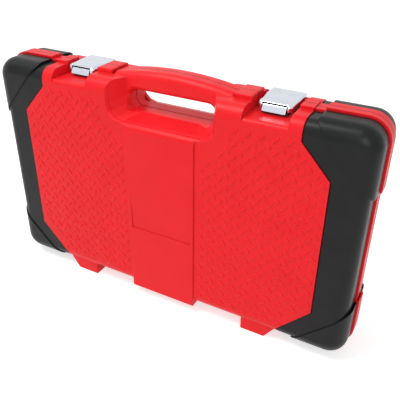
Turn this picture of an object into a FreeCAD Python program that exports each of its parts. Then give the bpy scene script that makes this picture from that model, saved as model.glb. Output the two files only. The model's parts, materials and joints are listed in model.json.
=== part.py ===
import FreeCAD
import Part
import Sketcher

import math
import os
import re

# A half inch drive socket set in a moulded carrying case that stands upright on its feet.
# +X runs along the case, the lid faces -Y, +Z is up. The origin lies on the ground, under the
# middle of the parting plane. Both shells are drawn with their depth along +Y, and the lid is
# then mirrored to the -Y side.

# Driving dimensions, in millimetres, degrees and counts.
SIZES = [
    # Case outline
    ("case_width", 456.0),
    ("case_height", 267.8),
    ("foot_height", 9.8),
    ("lid_depth", 41.0),
    ("base_depth", 36.0),
    ("shell_wall", 2.8),
    ("end_seam", 5.4),
    ("parting_gap", 0.3),
    ("corner_radius", 20.0),
    ("edge_radius", 14.0),
    ("panel_lift", 2.0),
    # How far cutting solids run past a face, and how deep raised blocks reach into a wall
    ("cut_overrun", 1.0),
    ("far_overrun", 20.0),
    ("block_root", 6.0),
    # Rim at the parting plane
    ("rim_thickness", 8.5),
    ("rim_rise", 1.5),
    ("rim_step_thickness", 11.0),
    ("rim_step_length", 14.0),
    # End caps and their corner bumpers
    ("cap_drop", 0.8),
    ("cap_thickness", 1.6),
    ("cap_clearance", 0.15),
    ("cap_inset", 1.0),
    ("cap_groove", 1.0),
    ("cap_rim_gap", 1.5),
    ("bumper_rise", 3.0),
    ("bumper_front_rise", 1.4),
    ("bumper_run", 60.0),
    ("bumper_drop", 71.0),
    ("bumper_climb", 62.0),
    # Red panel: its half widths, and where its slanted corners start on the sides
    ("panel_half_top", 157.0),
    ("panel_half_side", 189.0),
    ("panel_half_bottom", 152.5),
    ("panel_corner_top", 21.0),
    ("panel_corner_high", 55.6),
    ("panel_corner_low", 51.3),
    ("panel_corner_bottom", 12.2),
    # Centre band
    ("band_half_width", 43.9),
    ("band_rise", 2.0),
    ("band_edge_radius", 1.2),
    ("label_half_width", 40.0),
    ("label_lift", 90.7),
    ("label_height", 48.0),
    ("label_depth", 1.2),
    # Handle and its scoop
    ("grip_half_length", 54.0),
    ("grip_opening_drop", 37.0),
    ("grip_opening_height", 23.6),
    ("grip_corner_radius", 9.0),
    ("grip_half_depth", 17.0),
    ("grip_edge_radius", 5.5),
    ("grip_crown_radius", 9.0),
    ("grip_root", 19.0),
    ("grip_rise", 9.4),
    ("grip_arch", 7.0),
    ("scoop_flare", 16.0),
    ("scoop_fall", 8.0),
    ("scoop_corner", 18.0),
    ("scoop_back", 16.0),
    ("scoop_sole", 11.6),
    ("lip_radius", 7.0),
    ("lip_stretch", 1.6),
    ("seam_width", 0.6),
    ("seam_depth", 0.8),
    # Shoulders between the handle and the latches
    ("shoulder_start", 75.0),
    ("shoulder_rise", 4.9),
    ("shoulder_depth", 16.0),
    ("shoulder_edge_radius", 1.6),
    # Latch recesses
    ("recess_inner", 95.0),
    ("recess_outer", 143.0),
    ("recess_edge_radius", 5.0),
    ("lid_recess_drop", 10.1),
    ("base_recess_drop", 13.6),
    ("base_recess_reach", 31.5),
    # Feet
    ("foot_inner", 107.0),
    ("foot_outer", 137.0),
    ("foot_inset", 12.0),
    ("foot_setback", 3.0),
    ("foot_rise", 12.0),
    # Hinges along the bottom edge
    ("hinge_axis_height", 5.0),
    ("hinge_start", 48.0),
    ("knuckle_length", 10.0),
    ("knuckle_gap", 0.4),
    ("knuckle_radius", 4.2),
    ("hinge_pin_radius", 2.0),
    ("pin_clearance", 0.05),
    # Latch levers, brackets and catches
    ("lever_width", 38.0),
    ("lever_front", 17.0),
    ("lever_rear", 7.0),
    ("lever_top_rise", 2.4),
    ("lever_sheet", 1.2),
    ("lever_flange", 5.6),
    ("lever_lip", 9.0),
    ("lever_slot", 1.4),
    ("lever_corner_radius", 3.0),
    ("latch_pivot_depth", 21.0),
    ("latch_pivot_drop", 3.1),
    ("latch_ear_radius", 3.5),
    ("latch_pin_radius", 1.5),
    ("bracket_sheet", 1.5),
    ("bracket_gap", 1.0),
    ("bracket_front", 10.2),
    ("bracket_rear", 6.8),
    ("catch_sheet", 1.2),
    ("catch_length", 11.0),
    ("catch_width", 26.0),
    ("catch_clearance", 0.35),
    ("lip_clearance", 0.6),
    ("rivet_radius", 1.6),
    ("rivet_head_radius", 2.9),
    ("rivet_head_height", 1.0),
    ("rivet_spacing", 16.0),
    # Foam inlay: its clearances, its floor and the steps between its rows of tools
    ("inlay_recess", 1.0),
    ("inlay_clearance", 0.3),
    ("inlay_end_gap", 4.0),
    ("inlay_corner_gap", 6.0),
    ("inlay_floor_gap", 9.5),
    ("pocket_clearance", 0.5),
    ("pocket_floor", 27.0),
    ("extension_row_step", 44.0),
    ("small_row_step", 44.0),
    ("large_row_step", 50.0),
    ("plug_row_step", 49.0),
    ("bar_rest_length", 4.0),
    ("bar_rest_inset", 24.0),
    # Drive squares
    ("drive_square", 12.7),
    ("drive_clearance", 0.15),
    ("drive_length", 15.5),
    ("drive_hole_depth", 16.0),
    ("drive_ball_radius", 2.2),
    ("drive_ball_proud", 0.6),
    # Ratchet head
    ("ratchet_head_x", -176.0),
    ("tool_height", 50.0),
    ("tool_depth", -1.0),
    ("running_gap", 0.1),
    ("head_radius", 18.5),
    ("head_thickness", 20.0),
    ("head_back_wall", 4.0),
    ("head_edge_radius", 1.6),
    ("neck_radius", 14.0),
    ("neck_distance", 17.0),
    ("gear_radius", 11.6),
    ("gear_tooth", 1.1),
    ("gear_teeth", 24.0),
    ("gear_clearance", 0.4),
    ("gear_neck_radius", 9.4),
    ("gear_bore_depth", 7.4),
    ("cover_thickness", 2.4),
    ("cover_radius", 16.4),
    ("cover_neck_radius", 11.5),
    ("cover_screw_circle", 14.2),
    ("cover_screw_radius", 1.25),
    ("cover_screw_head_radius", 2.0),
    ("cover_screw_head_height", 1.2),
    ("cover_screw_length", 9.0),
    # Ratchet pawl, direction lever and release button
    ("pawl_distance", 18.0),
    ("pawl_chamber_radius", 8.6),
    ("pawl_thickness", 5.0),
    ("pawl_hub_radius", 3.6),
    ("pawl_reach", 7.03),
    ("pawl_waist", 4.6),
    ("pawl_notch", 1.2),
    ("pawl_rest_angle", 6.0),
    ("selector_shaft_radius", 1.9),
    ("selector_hub_radius", 4.6),
    ("selector_length", 17.0),
    ("selector_tip", 2.4),
    ("selector_thickness", 3.2),
    ("selector_rest_angle", 20.0),
    ("button_radius", 4.6),
    ("button_stem_radius", 3.4),
    ("button_flange", 3.4),
    ("button_proud", 2.6),
    # Ratchet handle
    ("shank_start", 24.0),
    ("shank_radius", 7.2),
    ("shank_length", 95.0),
    ("tang_radius", 5.4),
    ("tang_length", 100.0),
    ("hand_grip_length", 118.0),
    ("hand_grip_radius", 14.0),
    ("hand_grip_end_radius", 4.0),
    ("hand_grip_grooves", 6.0),
    ("groove_width", 2.0),
    ("groove_depth", 0.8),
    ("groove_pitch", 13.0),
    ("groove_start", 22.0),
    # Extension bars
    ("extension_bar_radius", 8.0),
    ("extension_head_radius", 11.6),
    ("extension_head_length", 32.0),
    ("extension_taper", 5.0),
    ("extension_long_length", 250.0),
    ("extension_short_length", 125.0),
    ("extension_long_start", -196.0),
    ("extension_short_start", 86.0),
    # Hexagon sockets
    ("socket_clearance", 0.2),
    ("socket_wall", 3.0),
    ("socket_least_radius", 11.0),
    ("socket_drive_share", 0.75),
    ("socket_length", 38.0),
    ("socket_long_length", 44.0),
    ("socket_hex_share", 0.6),
    ("socket_hex_least", 6.0),
    ("socket_nose", 2.0),
    ("socket_taper", 4.0),
    ("socket_bore_radius", 5.0),
    ("socket_chamfer", 1.5),
    ("small_row_pitch", 45.0),
    ("large_row_pitch", 51.0),
    # Spark plug sockets
    ("plug_socket_length", 65.0),
    ("plug_socket_middle", 113.0),
    ("plug_hex_depth", 24.0),
    ("plug_throat_depth", 44.0),
]

SMALL_SOCKETS = [10, 11, 12, 13, 14, 15, 16, 17, 18]
LARGE_SOCKETS = [19, 20, 21, 22, 24, 27, 30, 32]
PLUG_SOCKETS = [16, 21]
LONG_SOCKET_FROM = 27
LIP_FACETS = 3
CORNER_FACETS = 3
SIZES += [(f"flats_{flats}", flats) for flats in SMALL_SOCKETS + LARGE_SOCKETS]

doc = FreeCAD.newDocument("socket_set_case")
sheet = doc.addObject("Spreadsheet::Sheet", "Sizes")
for row, (alias, amount) in enumerate(SIZES, start=1):
    sheet.set(f"A{row}", alias)
    sheet.set(f"B{row}", str(amount))
    sheet.setAlias(f"B{row}", alias)
doc.recompute()

ALIASES = {alias for alias, amount in SIZES}
NODES = []
NEAR = 1e-6


def size(alias):
    """The sheet's value under this alias, as a plain number."""
    return float(sheet.get(alias))


def bound(text):
    """An expression with each alias pointed at the sheet."""
    def point(match):
        word = match.group(0)
        return f"Sizes.{word}" if word in ALIASES else word
    return re.sub(r"[a-z_][a-z0-9_]*", point, text)


def node(item, label):
    """Marks a finished sub-part, whose label names its file."""
    item.Label = label
    NODES.append(item)
    return item


# Solids and booleans, with their sizes bound to the sheet


def box(name, x, y, z):
    """A box between the low and high expressions on each axis."""
    item = doc.addObject("Part::Box", name)
    for side, (low, high) in zip(("Length", "Width", "Height"), (x, y, z)):
        item.setExpression(side, bound(f"({high}) - ({low})"))
    for axis, (low, high) in zip("xyz", (x, y, z)):
        item.setExpression(f"Placement.Base.{axis}", bound(low))
    return item


TURNS = {
    "x": FreeCAD.Rotation(FreeCAD.Vector(0, 1, 0), 90),
    "y": FreeCAD.Rotation(FreeCAD.Vector(1, 0, 0), -90),
    "z": FreeCAD.Rotation(),
}


def lay(item, axis, start):
    """Turns a solid of revolution onto an axis, with its lower end at the start point."""
    item.Placement = FreeCAD.Placement(FreeCAD.Vector(), TURNS[axis])
    for name, place in zip("xyz", start):
        item.setExpression(f"Placement.Base.{name}", bound(place))
    return item


def start_point(axis, centre, low):
    """The lower end of a solid on an axis, given its centre on the other two axes."""
    point = list(centre)
    point.insert("xyz".index(axis), low)
    return point


def rod(name, axis, centre, span, radius):
    """A cylinder along an axis: its centre on the other two axes, its span and its radius."""
    item = doc.addObject("Part::Cylinder", name)
    item.setExpression("Radius", bound(radius))
    item.setExpression("Height", bound(f"({span[1]}) - ({span[0]})"))
    return lay(item, axis, start_point(axis, centre, span[0]))


def cone(name, axis, centre, span, radii):
    """A cone along an axis, from the first radius to the second."""
    item = doc.addObject("Part::Cone", name)
    item.setExpression("Radius1", bound(radii[0]))
    item.setExpression("Radius2", bound(radii[1]))
    item.setExpression("Height", bound(f"({span[1]}) - ({span[0]})"))
    return lay(item, axis, start_point(axis, centre, span[0]))


def ball(name, centre, radius):
    """A sphere."""
    item = doc.addObject("Part::Sphere", name)
    item.setExpression("Radius", bound(radius))
    return lay(item, "z", centre)


def hexagon(name, axis, centre, span, across_flats):
    """A hexagonal prism along an axis, by its width across flats."""
    item = doc.addObject("Part::Prism", name)
    item.Polygon = 6
    item.setExpression("Circumradius", bound(f"({across_flats}) / sqrt(3)"))
    item.setExpression("Height", bound(f"({span[1]}) - ({span[0]})"))
    return lay(item, axis, start_point(axis, centre, span[0]))


def outline(name, points, depth="0"):
    """A closed sketch in the X-Z plane at a depth, with every corner bound to two expressions."""
    sketch = doc.addObject("Sketcher::SketchObject", name)
    sketch.Placement = FreeCAD.Placement(FreeCAD.Vector(), FreeCAD.Rotation(FreeCAD.Vector(1, 0, 0), 90))
    sketch.setExpression("Placement.Base.y", bound(depth))
    count = len(points)
    ring = [FreeCAD.Vector(math.cos(math.tau * k / count), math.sin(math.tau * k / count), 0)
            for k in range(count)]
    for k in range(count):
        sketch.addGeometry(Part.LineSegment(ring[k], ring[(k + 1) % count]), False)
    for k in range(count):
        sketch.addConstraint(Sketcher.Constraint("Coincident", k, 2, (k + 1) % count, 1))
    for k, corner in enumerate(points):
        for kind, amount, place in zip(("DistanceX", "DistanceY"), (ring[k].x, ring[k].y), corner):
            index = sketch.addConstraint(Sketcher.Constraint(kind, -1, 1, k, 1, amount))
            label = f"{kind}{k}"
            sketch.renameConstraint(index, label)
            sketch.setExpression(f"Constraints.{label}", bound(place))
    return sketch


def prism(name, points, span):
    """An outline in the X-Z plane, extruded along Y over a span."""
    item = doc.addObject("Part::Extrusion", name)
    item.Base = outline(f"{name}_outline", points, span[0])
    item.DirMode = "Custom"
    item.Dir = FreeCAD.Vector(0, 1, 0)
    item.Solid = True
    item.setExpression("LengthFwd", bound(f"({span[1]}) - ({span[0]})"))
    return item


def fuse(name, *items):
    """The union of two or more items."""
    item = doc.addObject("Part::MultiFuse", name)
    item.Shapes = list(items)
    item.Refine = True
    return item


def cut(name, base, *tools):
    """A base with one or more tools taken out of it."""
    item = doc.addObject("Part::Cut", name)
    item.Base = base
    item.Tool = tools[0] if len(tools) == 1 else fuse(f"{name}_tools", *tools)
    item.Refine = True
    return item


def common(name, *items):
    """What two or more items share."""
    item = doc.addObject("Part::MultiCommon", name)
    item.Shapes = list(items)
    item.Refine = True
    return item


def mirror(name, source, normal):
    """A mirror image through the origin."""
    item = doc.addObject("Part::Mirroring", name)
    item.Source = source
    item.Normal = FreeCAD.Vector(*normal)
    return item


ACROSS = (1, 0, 0)
THROUGH = (0, 1, 0)


def pair(name, source):
    """An item on the +X side and its mirror image on the -X side."""
    return [source, mirror(f"{name}_mirror", source, ACROSS)]


def round_edges(name, base, radius, wanted):
    """Rounds the edges that the test function picks."""
    doc.recompute()
    item = doc.addObject("Part::Fillet", name)
    item.Base = base
    item.Edges = [(k, radius, radius) for k, edge in enumerate(base.Shape.Edges, start=1) if wanted(edge)]
    return item


def runs_along_y(edge):
    """Whether an edge is a straight one along Y."""
    low, high = edge.BoundBox.XLength, edge.BoundBox.ZLength
    return max(low, high) < NEAR


def on_depth(depth):
    """A test for edges that lie in the plane at this depth."""
    def test(edge):
        bounds = edge.BoundBox
        return abs(bounds.YMin - depth) < NEAR and abs(bounds.YMax - depth) < NEAR
    return test


BOTTOM = "foot_height"
TOP = "(foot_height + case_height)"
HALF = "case_width / 2"
PARTING = "parting_gap / 2"
FAR = "(lid_depth + base_depth)"


def rounded_block(name, inset, low_lift, depth, start, corner, edge):
    """The case's outline drawn in by an inset, with its corners and its outer edges rounded."""
    block = box(
        f"{name}_block",
        (f"-({HALF} - ({inset}))", f"{HALF} - ({inset})"),
        (start, depth),
        (f"{BOTTOM} + ({inset}) + ({low_lift})", f"{TOP} - ({inset})"),
    )
    corners = round_edges(f"{name}_corners", block, corner, runs_along_y)
    doc.recompute()
    return round_edges(name, corners, edge, on_depth(corners.Shape.BoundBox.YMax))


# Zones of the case outline, shared by both shells


def cap_zone_points(shift):
    """The right-hand end of the case, beyond the red panel's edge moved out by a shift."""
    top = f"panel_half_top + {shift}"
    side = f"panel_half_side + {shift}"
    bottom = f"panel_half_bottom + {shift}"
    beyond = f"{HALF} + far_overrun"
    return [
        (top, f"{TOP} + far_overrun"),
        (top, f"{TOP} - panel_corner_top"),
        (side, f"{TOP} - panel_corner_high"),
        (side, f"{BOTTOM} + panel_corner_low"),
        (bottom, f"{BOTTOM} + panel_corner_bottom"),
        (bottom, f"{BOTTOM} - far_overrun"),
        (beyond, f"{BOTTOM} - far_overrun"),
        (beyond, f"{TOP} + far_overrun"),
    ]


def bumper_points(edge, away, drop):
    """A corner of the case outside a slanted line: away is the sign of the corner's side in Z."""
    start = f"{HALF} - bumper_run"
    end = f"{HALF} + bumper_rise"
    beyond = f"{HALF} + far_overrun"
    return [
        (start, f"{edge} {away} far_overrun"),
        (start, edge),
        (end, drop),
        (beyond, drop),
        (beyond, f"{edge} {away} far_overrun"),
    ]


panel_edge_zones = pair("panel_edge_zone", prism("panel_edge_zone", cap_zone_points("0"), ("0", f"{FAR}")))
cap_zone = prism("cap_zone", cap_zone_points("cap_groove"), ("0", f"{FAR}"))
bumper_high = prism("bumper_high", bumper_points(TOP, "+", f"{TOP} - bumper_drop"), ("0", f"{FAR}"))
bumper_low = prism("bumper_low", bumper_points(BOTTOM, "-", f"{BOTTOM} + bumper_climb"), ("0", f"{FAR}"))
bumper_zone = fuse("bumper_zone", bumper_high, bumper_low)
bumper_zones = fuse("bumper_zones", *pair("bumper_zone", bumper_zone))

UNDER = "cap_drop + cap_thickness + cap_clearance"
CAVITY = f"{UNDER} + shell_wall"
GRIP_LOW = f"({TOP} - grip_opening_drop)"
KEEP_LOW = f"({GRIP_LOW} - scoop_sole)"
KEEP_HALF = "(grip_half_length + grip_root)"
LATCH = "((recess_inner + recess_outer) / 2)"


def rounded_plate(name, inset, span):
    """The case's outline drawn in by an inset, as a plate with rounded corners."""
    plate = box(
        f"{name}_plate",
        (f"-({HALF} - ({inset}))", f"{HALF} - ({inset})"),
        span,
        (f"{BOTTOM} + ({inset})", f"{TOP} - ({inset})"),
    )
    doc.recompute()
    drawn_in = size("case_width") / 2 - plate.Shape.BoundBox.XMax
    return round_edges(name, plate, size("corner_radius") - drawn_in, runs_along_y)


def inside_plate(name, clearance, drop, span):
    """The outline of the hollow: it steps down under the latches and the handle."""
    plate = rounded_plate(f"{name}_whole", f"{CAVITY} + {clearance}", span)
    latch_keep = box(
        f"{name}_latch_keep",
        (f"-(recess_outer + shell_wall + {clearance})", f"recess_outer + shell_wall + {clearance}"),
        ("-cut_overrun", FAR),
        (f"{TOP} - {drop} - shell_wall - {clearance}", f"{TOP} + far_overrun"),
    )
    grip_keep = box(
        f"{name}_grip_keep",
        (f"-({KEEP_HALF} + {clearance})", f"{KEEP_HALF} + {clearance}"),
        ("-cut_overrun", FAR),
        (f"{KEEP_LOW} - {clearance}", f"{TOP} + far_overrun"),
    )
    return cut(name, plate, latch_keep, grip_keep)


def scoop_section(name, depth, flare, fall):
    """The scoop's outline at a depth, wider and lower than the handle's opening by a flare and a fall."""
    wide = f"grip_half_length + {flare}"
    low = f"{GRIP_LOW} - ({fall})"
    high = f"{TOP} + far_overrun"
    right = [(wide, high)]
    for step in range(CORNER_FACETS + 1):
        angle = f"{90 / CORNER_FACETS * step}"
        right.append((f"{wide} - scoop_corner * (1 - cos({angle}))",
                      f"{low} + scoop_corner * (1 - sin({angle}))"))
    return outline(name, right + [(f"-({x})", z) for x, z in reversed(right)], depth)


def stretched(back, front):
    """A scoop outline further along the line from one outline through another, past the face."""
    return tuple(f"{near} + lip_stretch * (({far}) - ({near}))" for near, far in zip(back, front))


def scoop_run(name, back, front):
    """One run of the scoop between two outlines."""
    item = doc.addObject("Part::Loft", name)
    item.Sections = [scoop_section(f"{name}_back", *back), scoop_section(f"{name}_front", *front)]
    item.Solid = True
    item.Ruled = True
    return item


def scoop(prefix, depth):
    """The hand's way to the handle: a hollow that flares towards the face, with a lip rounded in facets."""
    front = f"({depth} + band_rise)"
    beyond = f"{front} + cut_overrun"
    runs = [scoop_run(f"{prefix}_scoop", ("scoop_back", "0", "0"), (beyond, "scoop_flare", "scoop_fall"))]
    start = f"(({front} - lip_radius - scoop_back) / ({front} - scoop_back))"
    for facet in range(LIP_FACETS):
        sections = []
        for step in (facet, facet + 1):
            angle = f"{90 / LIP_FACETS * step}"
            drawn = f"lip_radius * (1 - cos({angle}))"
            sections.append((f"{front} - lip_radius * (1 - sin({angle}))",
                             f"scoop_flare * {start} + {drawn}", f"scoop_fall * {start} + {drawn}"))
        runs.append(scoop_run(f"{prefix}_lip_{facet}", sections[0], stretched(*sections)))
    return runs


def grip_opening(name):
    """The hole that the fingers go through, with rounded corners."""
    hole = box(
        f"{name}_hole",
        ("-grip_half_length", "grip_half_length"),
        ("-cut_overrun", FAR),
        (GRIP_LOW, f"{GRIP_LOW} + grip_opening_height"),
    )
    return round_edges(name, hole, size("grip_corner_radius"), runs_along_y)


def grip_seam(name):
    """The groove round the handle's opening where the two shells meet."""
    groove = box(
        f"{name}_groove",
        ("-(grip_half_length + seam_depth)", "grip_half_length + seam_depth"),
        ("-cut_overrun", "seam_width"),
        (f"{GRIP_LOW} - seam_depth", f"{GRIP_LOW} + grip_opening_height + seam_depth"),
    )
    return round_edges(name, groove, size("grip_corner_radius") + size("seam_depth"), runs_along_y)


def grip_half(prefix):
    """Half of the arched handle and its roots, with its outer edges rounded."""
    block = box(
        f"{prefix}_grip_block",
        (f"-{KEEP_HALF}", KEEP_HALF),
        (PARTING, "grip_half_depth"),
        (KEEP_LOW, f"{TOP} + far_overrun"),
    )
    radius = f"(({KEEP_HALF}^2 + grip_arch^2) / (2 * grip_arch))"
    arch_centre = ("0", f"{TOP} + grip_rise - {radius}")
    arch = rod(f"{prefix}_grip_arch", "y", arch_centre, ("-cut_overrun", FAR), radius)
    arched = common(f"{prefix}_grip_arched", block, arch)
    holed = cut(f"{prefix}_grip_holed", arched, grip_opening(f"{prefix}_grip_opening"))
    doc.recompute()
    outer = on_depth(holed.Shape.BoundBox.YMax)
    crown = size("foot_height") + size("case_height")

    def on_crown(edge):
        return outer(edge) and edge.BoundBox.ZMax > crown + size("grip_edge_radius")

    def on_hole(edge):
        bounds = edge.BoundBox
        reach = size("grip_half_length") + NEAR
        above_sole = bounds.ZMin > holed.Shape.BoundBox.ZMin + NEAR
        within = bounds.XMax < reach and bounds.XMin > -reach
        return outer(edge) and above_sole and within and not on_crown(edge)

    inner = round_edges(f"{prefix}_grip_inner", holed, size("grip_edge_radius"), on_hole)
    return round_edges(f"{prefix}_grip", inner, size("grip_crown_radius"), on_crown)


def knuckles(prefix, places):
    """Hinge knuckles, each with the lug that joins it to the rim; places count along the pin."""
    pieces = []
    for place in places:
        low = f"hinge_start + {place} * (knuckle_length + knuckle_gap)"
        span = (low, f"{low} + knuckle_length")
        barrel = rod(f"{prefix}_knuckle_{place}", "x", ("0", "hinge_axis_height"), span, "knuckle_radius")
        lug = box(f"{prefix}_lug_{place}", span, (PARTING, "knuckle_radius"),
                  ("hinge_axis_height", f"{BOTTOM} + cut_overrun"))
        pieces += [*pair(f"{prefix}_knuckle_{place}", barrel), *pair(f"{prefix}_lug_{place}", lug)]
    return pieces


def feet(prefix, depth):
    """The two feet, each with a slanted outer side."""
    foot = prism(f"{prefix}_foot", [
        ("foot_inner", "0"),
        ("foot_outer", "0"),
        ("panel_half_bottom", f"{BOTTOM} + foot_rise"),
        ("foot_inner", f"{BOTTOM} + foot_rise"),
    ], ("foot_inset", f"{depth} - foot_setback"))
    return pair(f"{prefix}_foot", foot)


def shoulders(prefix):
    """The raised blocks between the handle's roots and the latches."""
    block = box(
        f"{prefix}_shoulder_block",
        ("shoulder_start", "recess_inner"),
        (PARTING, "shoulder_depth"),
        (f"{TOP} - block_root", f"{TOP} + shoulder_rise"),
    )
    doc.recompute()
    bounds = block.Shape.BoundBox

    def outer_top(edge):
        middle = edge.CenterOfMass
        return middle.z > bounds.ZMax - NEAR and middle.y > bounds.YMin + NEAR

    return pair(f"{prefix}_shoulder",
                round_edges(f"{prefix}_shoulder", block, size("shoulder_edge_radius"), outer_top))


def band(prefix, depth):
    """The smooth raised band down the middle of the shell."""
    block = box(
        f"{prefix}_band_block",
        ("-band_half_width", "band_half_width"),
        ("rim_thickness", f"{depth} + band_rise"),
        (BOTTOM, GRIP_LOW),
    )
    doc.recompute()
    face = on_depth(block.Shape.BoundBox.YMax)
    return round_edges(f"{prefix}_band", block, size("band_edge_radius"), face)


def hollow_rim(plate):
    """A test for the outer edges of the hollow's floor that follow the case's own outline."""
    bounds = plate.Shape.BoundBox

    def test(edge):
        box_of_edge = edge.BoundBox
        if box_of_edge.YMin < bounds.YMax - NEAR:
            return False
        middle = edge.CenterOfMass
        near_side = abs(middle.x) > bounds.XMax - size("corner_radius")
        near_bottom = middle.z < bounds.ZMin + size("corner_radius") / 2
        return near_side or near_bottom

    return test


def above(name, height):
    """All of the case above a height."""
    end = f"{HALF} + far_overrun"
    return box(name, (f"-({end})", end), ("-cut_overrun", FAR), (height, f"{TOP} + far_overrun"))


def recess_lips(prefix, depth, drop):
    """What rounds the floor of each latch recess where it runs out through the face."""
    span = ("recess_inner", "recess_outer")
    floor = f"({TOP} - {drop})"
    middle = (f"{depth} - recess_edge_radius", f"{floor} - recess_edge_radius")
    corner = box(f"{prefix}_recess_corner", span, (middle[0], f"{depth} + cut_overrun"),
                 (middle[1], f"{floor} + cut_overrun"))
    rounding = rod(f"{prefix}_recess_rounding", "x", middle, span, "recess_edge_radius")
    return pair(f"{prefix}_recess_lip", cut(f"{prefix}_recess_lip", corner, rounding))


def shell_half(prefix, depth, drop, reach, places):
    """One shell with its depth along +Y: outer form, hollow, handle half, hinge knuckles and feet."""
    corner, edge = size("corner_radius"), size("edge_radius")
    under = size("cap_drop") + size("cap_thickness") + size("cap_clearance")
    under_depth = f"{depth} - cap_inset - ({UNDER})"
    panel = cut(
        f"{prefix}_panel",
        rounded_block(f"{prefix}_panel_skin", "0", "panel_lift", depth, PARTING, corner, edge),
        *panel_edge_zones,
    )
    ends = rounded_block(f"{prefix}_ends", UNDER, "0", under_depth, PARTING, corner - under, edge - under)
    rim = common(
        f"{prefix}_rim",
        rounded_plate(f"{prefix}_rim_plain", "-rim_rise", (PARTING, "rim_thickness")),
        above(f"{prefix}_rim_zone", BOTTOM),
    )
    bumper_rim = common(
        f"{prefix}_bumper_rim",
        rounded_plate(f"{prefix}_rim_wide", "-(bumper_rise + rim_rise)", (PARTING, "rim_thickness")),
        bumper_zones, above(f"{prefix}_bumper_rim_zone", f"{BOTTOM} - bumper_rise"),
    )
    rim_step = box(
        f"{prefix}_rim_step",
        ("recess_outer", "recess_outer + rim_step_length"),
        (PARTING, "rim_step_thickness"),
        (f"{TOP} - block_root", f"{TOP} + bumper_rise"),
    )
    solid = fuse(
        f"{prefix}_solid", panel, ends, rim, bumper_rim, *pair(f"{prefix}_rim_step", rim_step),
        *shoulders(prefix), band(prefix, depth), *feet(prefix, depth),
    )
    inner_wall = under + size("shell_wall")
    cavity_span = ("-cut_overrun", f"{under_depth} - shell_wall")
    cavity_plate = inside_plate(f"{prefix}_cavity_plate", "0", drop, cavity_span)
    doc.recompute()
    cavity = round_edges(f"{prefix}_cavity", cavity_plate, edge - inner_wall, hollow_rim(cavity_plate))
    panel_hollow = box(
        f"{prefix}_panel_hollow",
        ("-(panel_half_bottom - 2 * shell_wall)", "panel_half_bottom - 2 * shell_wall"),
        ("-cut_overrun", f"{depth} - shell_wall"),
        (f"{BOTTOM} + panel_lift + edge_radius", KEEP_LOW),
    )
    recess = box(
        f"{prefix}_recess",
        ("recess_inner", "recess_outer"),
        ("-cut_overrun", reach),
        (f"{TOP} - {drop}", f"{TOP} + far_overrun"),
    )
    grip_clear = box(
        f"{prefix}_grip_clear",
        ("-grip_half_length", "grip_half_length"),
        ("rim_thickness - cut_overrun", "scoop_back + cut_overrun"),
        (GRIP_LOW, f"{TOP} + far_overrun"),
    )
    hollow = cut(
        f"{prefix}_hollow", solid, cavity, panel_hollow, *pair(f"{prefix}_recess", recess),
        *scoop(prefix, depth), grip_clear, grip_opening(f"{prefix}_opening"),
        *(recess_lips(prefix, depth, drop) if reach.startswith(depth) else []),
    )
    joined = fuse(f"{prefix}_joined", hollow, grip_half(prefix), *knuckles(prefix, places))
    pin_hole = rod(
        f"{prefix}_pin_hole", "x", ("0", "hinge_axis_height"),
        ("hinge_start - cut_overrun", "hinge_start + 5 * (knuckle_length + knuckle_gap)"),
        "hinge_pin_radius + pin_clearance",
    )
    return cut(f"{prefix}_bored", joined, grip_seam(f"{prefix}_seam"), *pair(f"{prefix}_pin_hole", pin_hole))


def end_cap(prefix, depth):
    """The black cap over the right-hand end of a shell, with its two raised corner bumpers."""
    corner, edge = size("corner_radius"), size("edge_radius")
    drop, inner = size("cap_drop"), size("cap_drop") + size("cap_thickness")
    rise = size("bumper_rise")
    start = "rim_thickness + cap_rim_gap"
    face = f"{depth} - cap_inset"
    plain = rounded_block(f"{prefix}_cap_plain", "cap_drop", "0", face, start, corner - drop, edge)
    bumpers = common(
        f"{prefix}_cap_bumpers",
        rounded_block(f"{prefix}_cap_raised", "cap_drop - bumper_rise", "0", f"{face} + bumper_front_rise",
                      start, corner + rise - drop, edge + rise),
        bumper_zone,
    )
    skin = common(f"{prefix}_cap_skin", fuse(f"{prefix}_cap_whole", plain, bumpers), cap_zone)
    core = rounded_block(f"{prefix}_cap_core", "cap_drop + cap_thickness", "0",
                         f"{face} - cap_drop - cap_thickness", "0", corner - inner, edge - inner)
    return cut(f"{prefix}_cap", skin, core)


LATCH_TOP = f"({TOP} + lever_top_rise)"
PIVOT = ("latch_pivot_depth", f"{TOP} - latch_pivot_drop")
LID_FLOOR = f"({TOP} - lid_recess_drop)"
BASE_FLOOR = f"({TOP} - base_recess_drop)"
CATCH_FRONT = "-(lever_front - lever_sheet - lip_clearance)"
CATCH_RIVET_DEPTH = f"({CATCH_FRONT} + catch_length / 2 + catch_sheet)"
BRACKET_RIVET_DEPTH = "(latch_pivot_depth - latch_ear_radius - rivet_head_radius)"


def latch_span(half):
    """A span along X about the right-hand latch's middle."""
    return (f"{LATCH} - ({half})", f"{LATCH} + ({half})")


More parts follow.
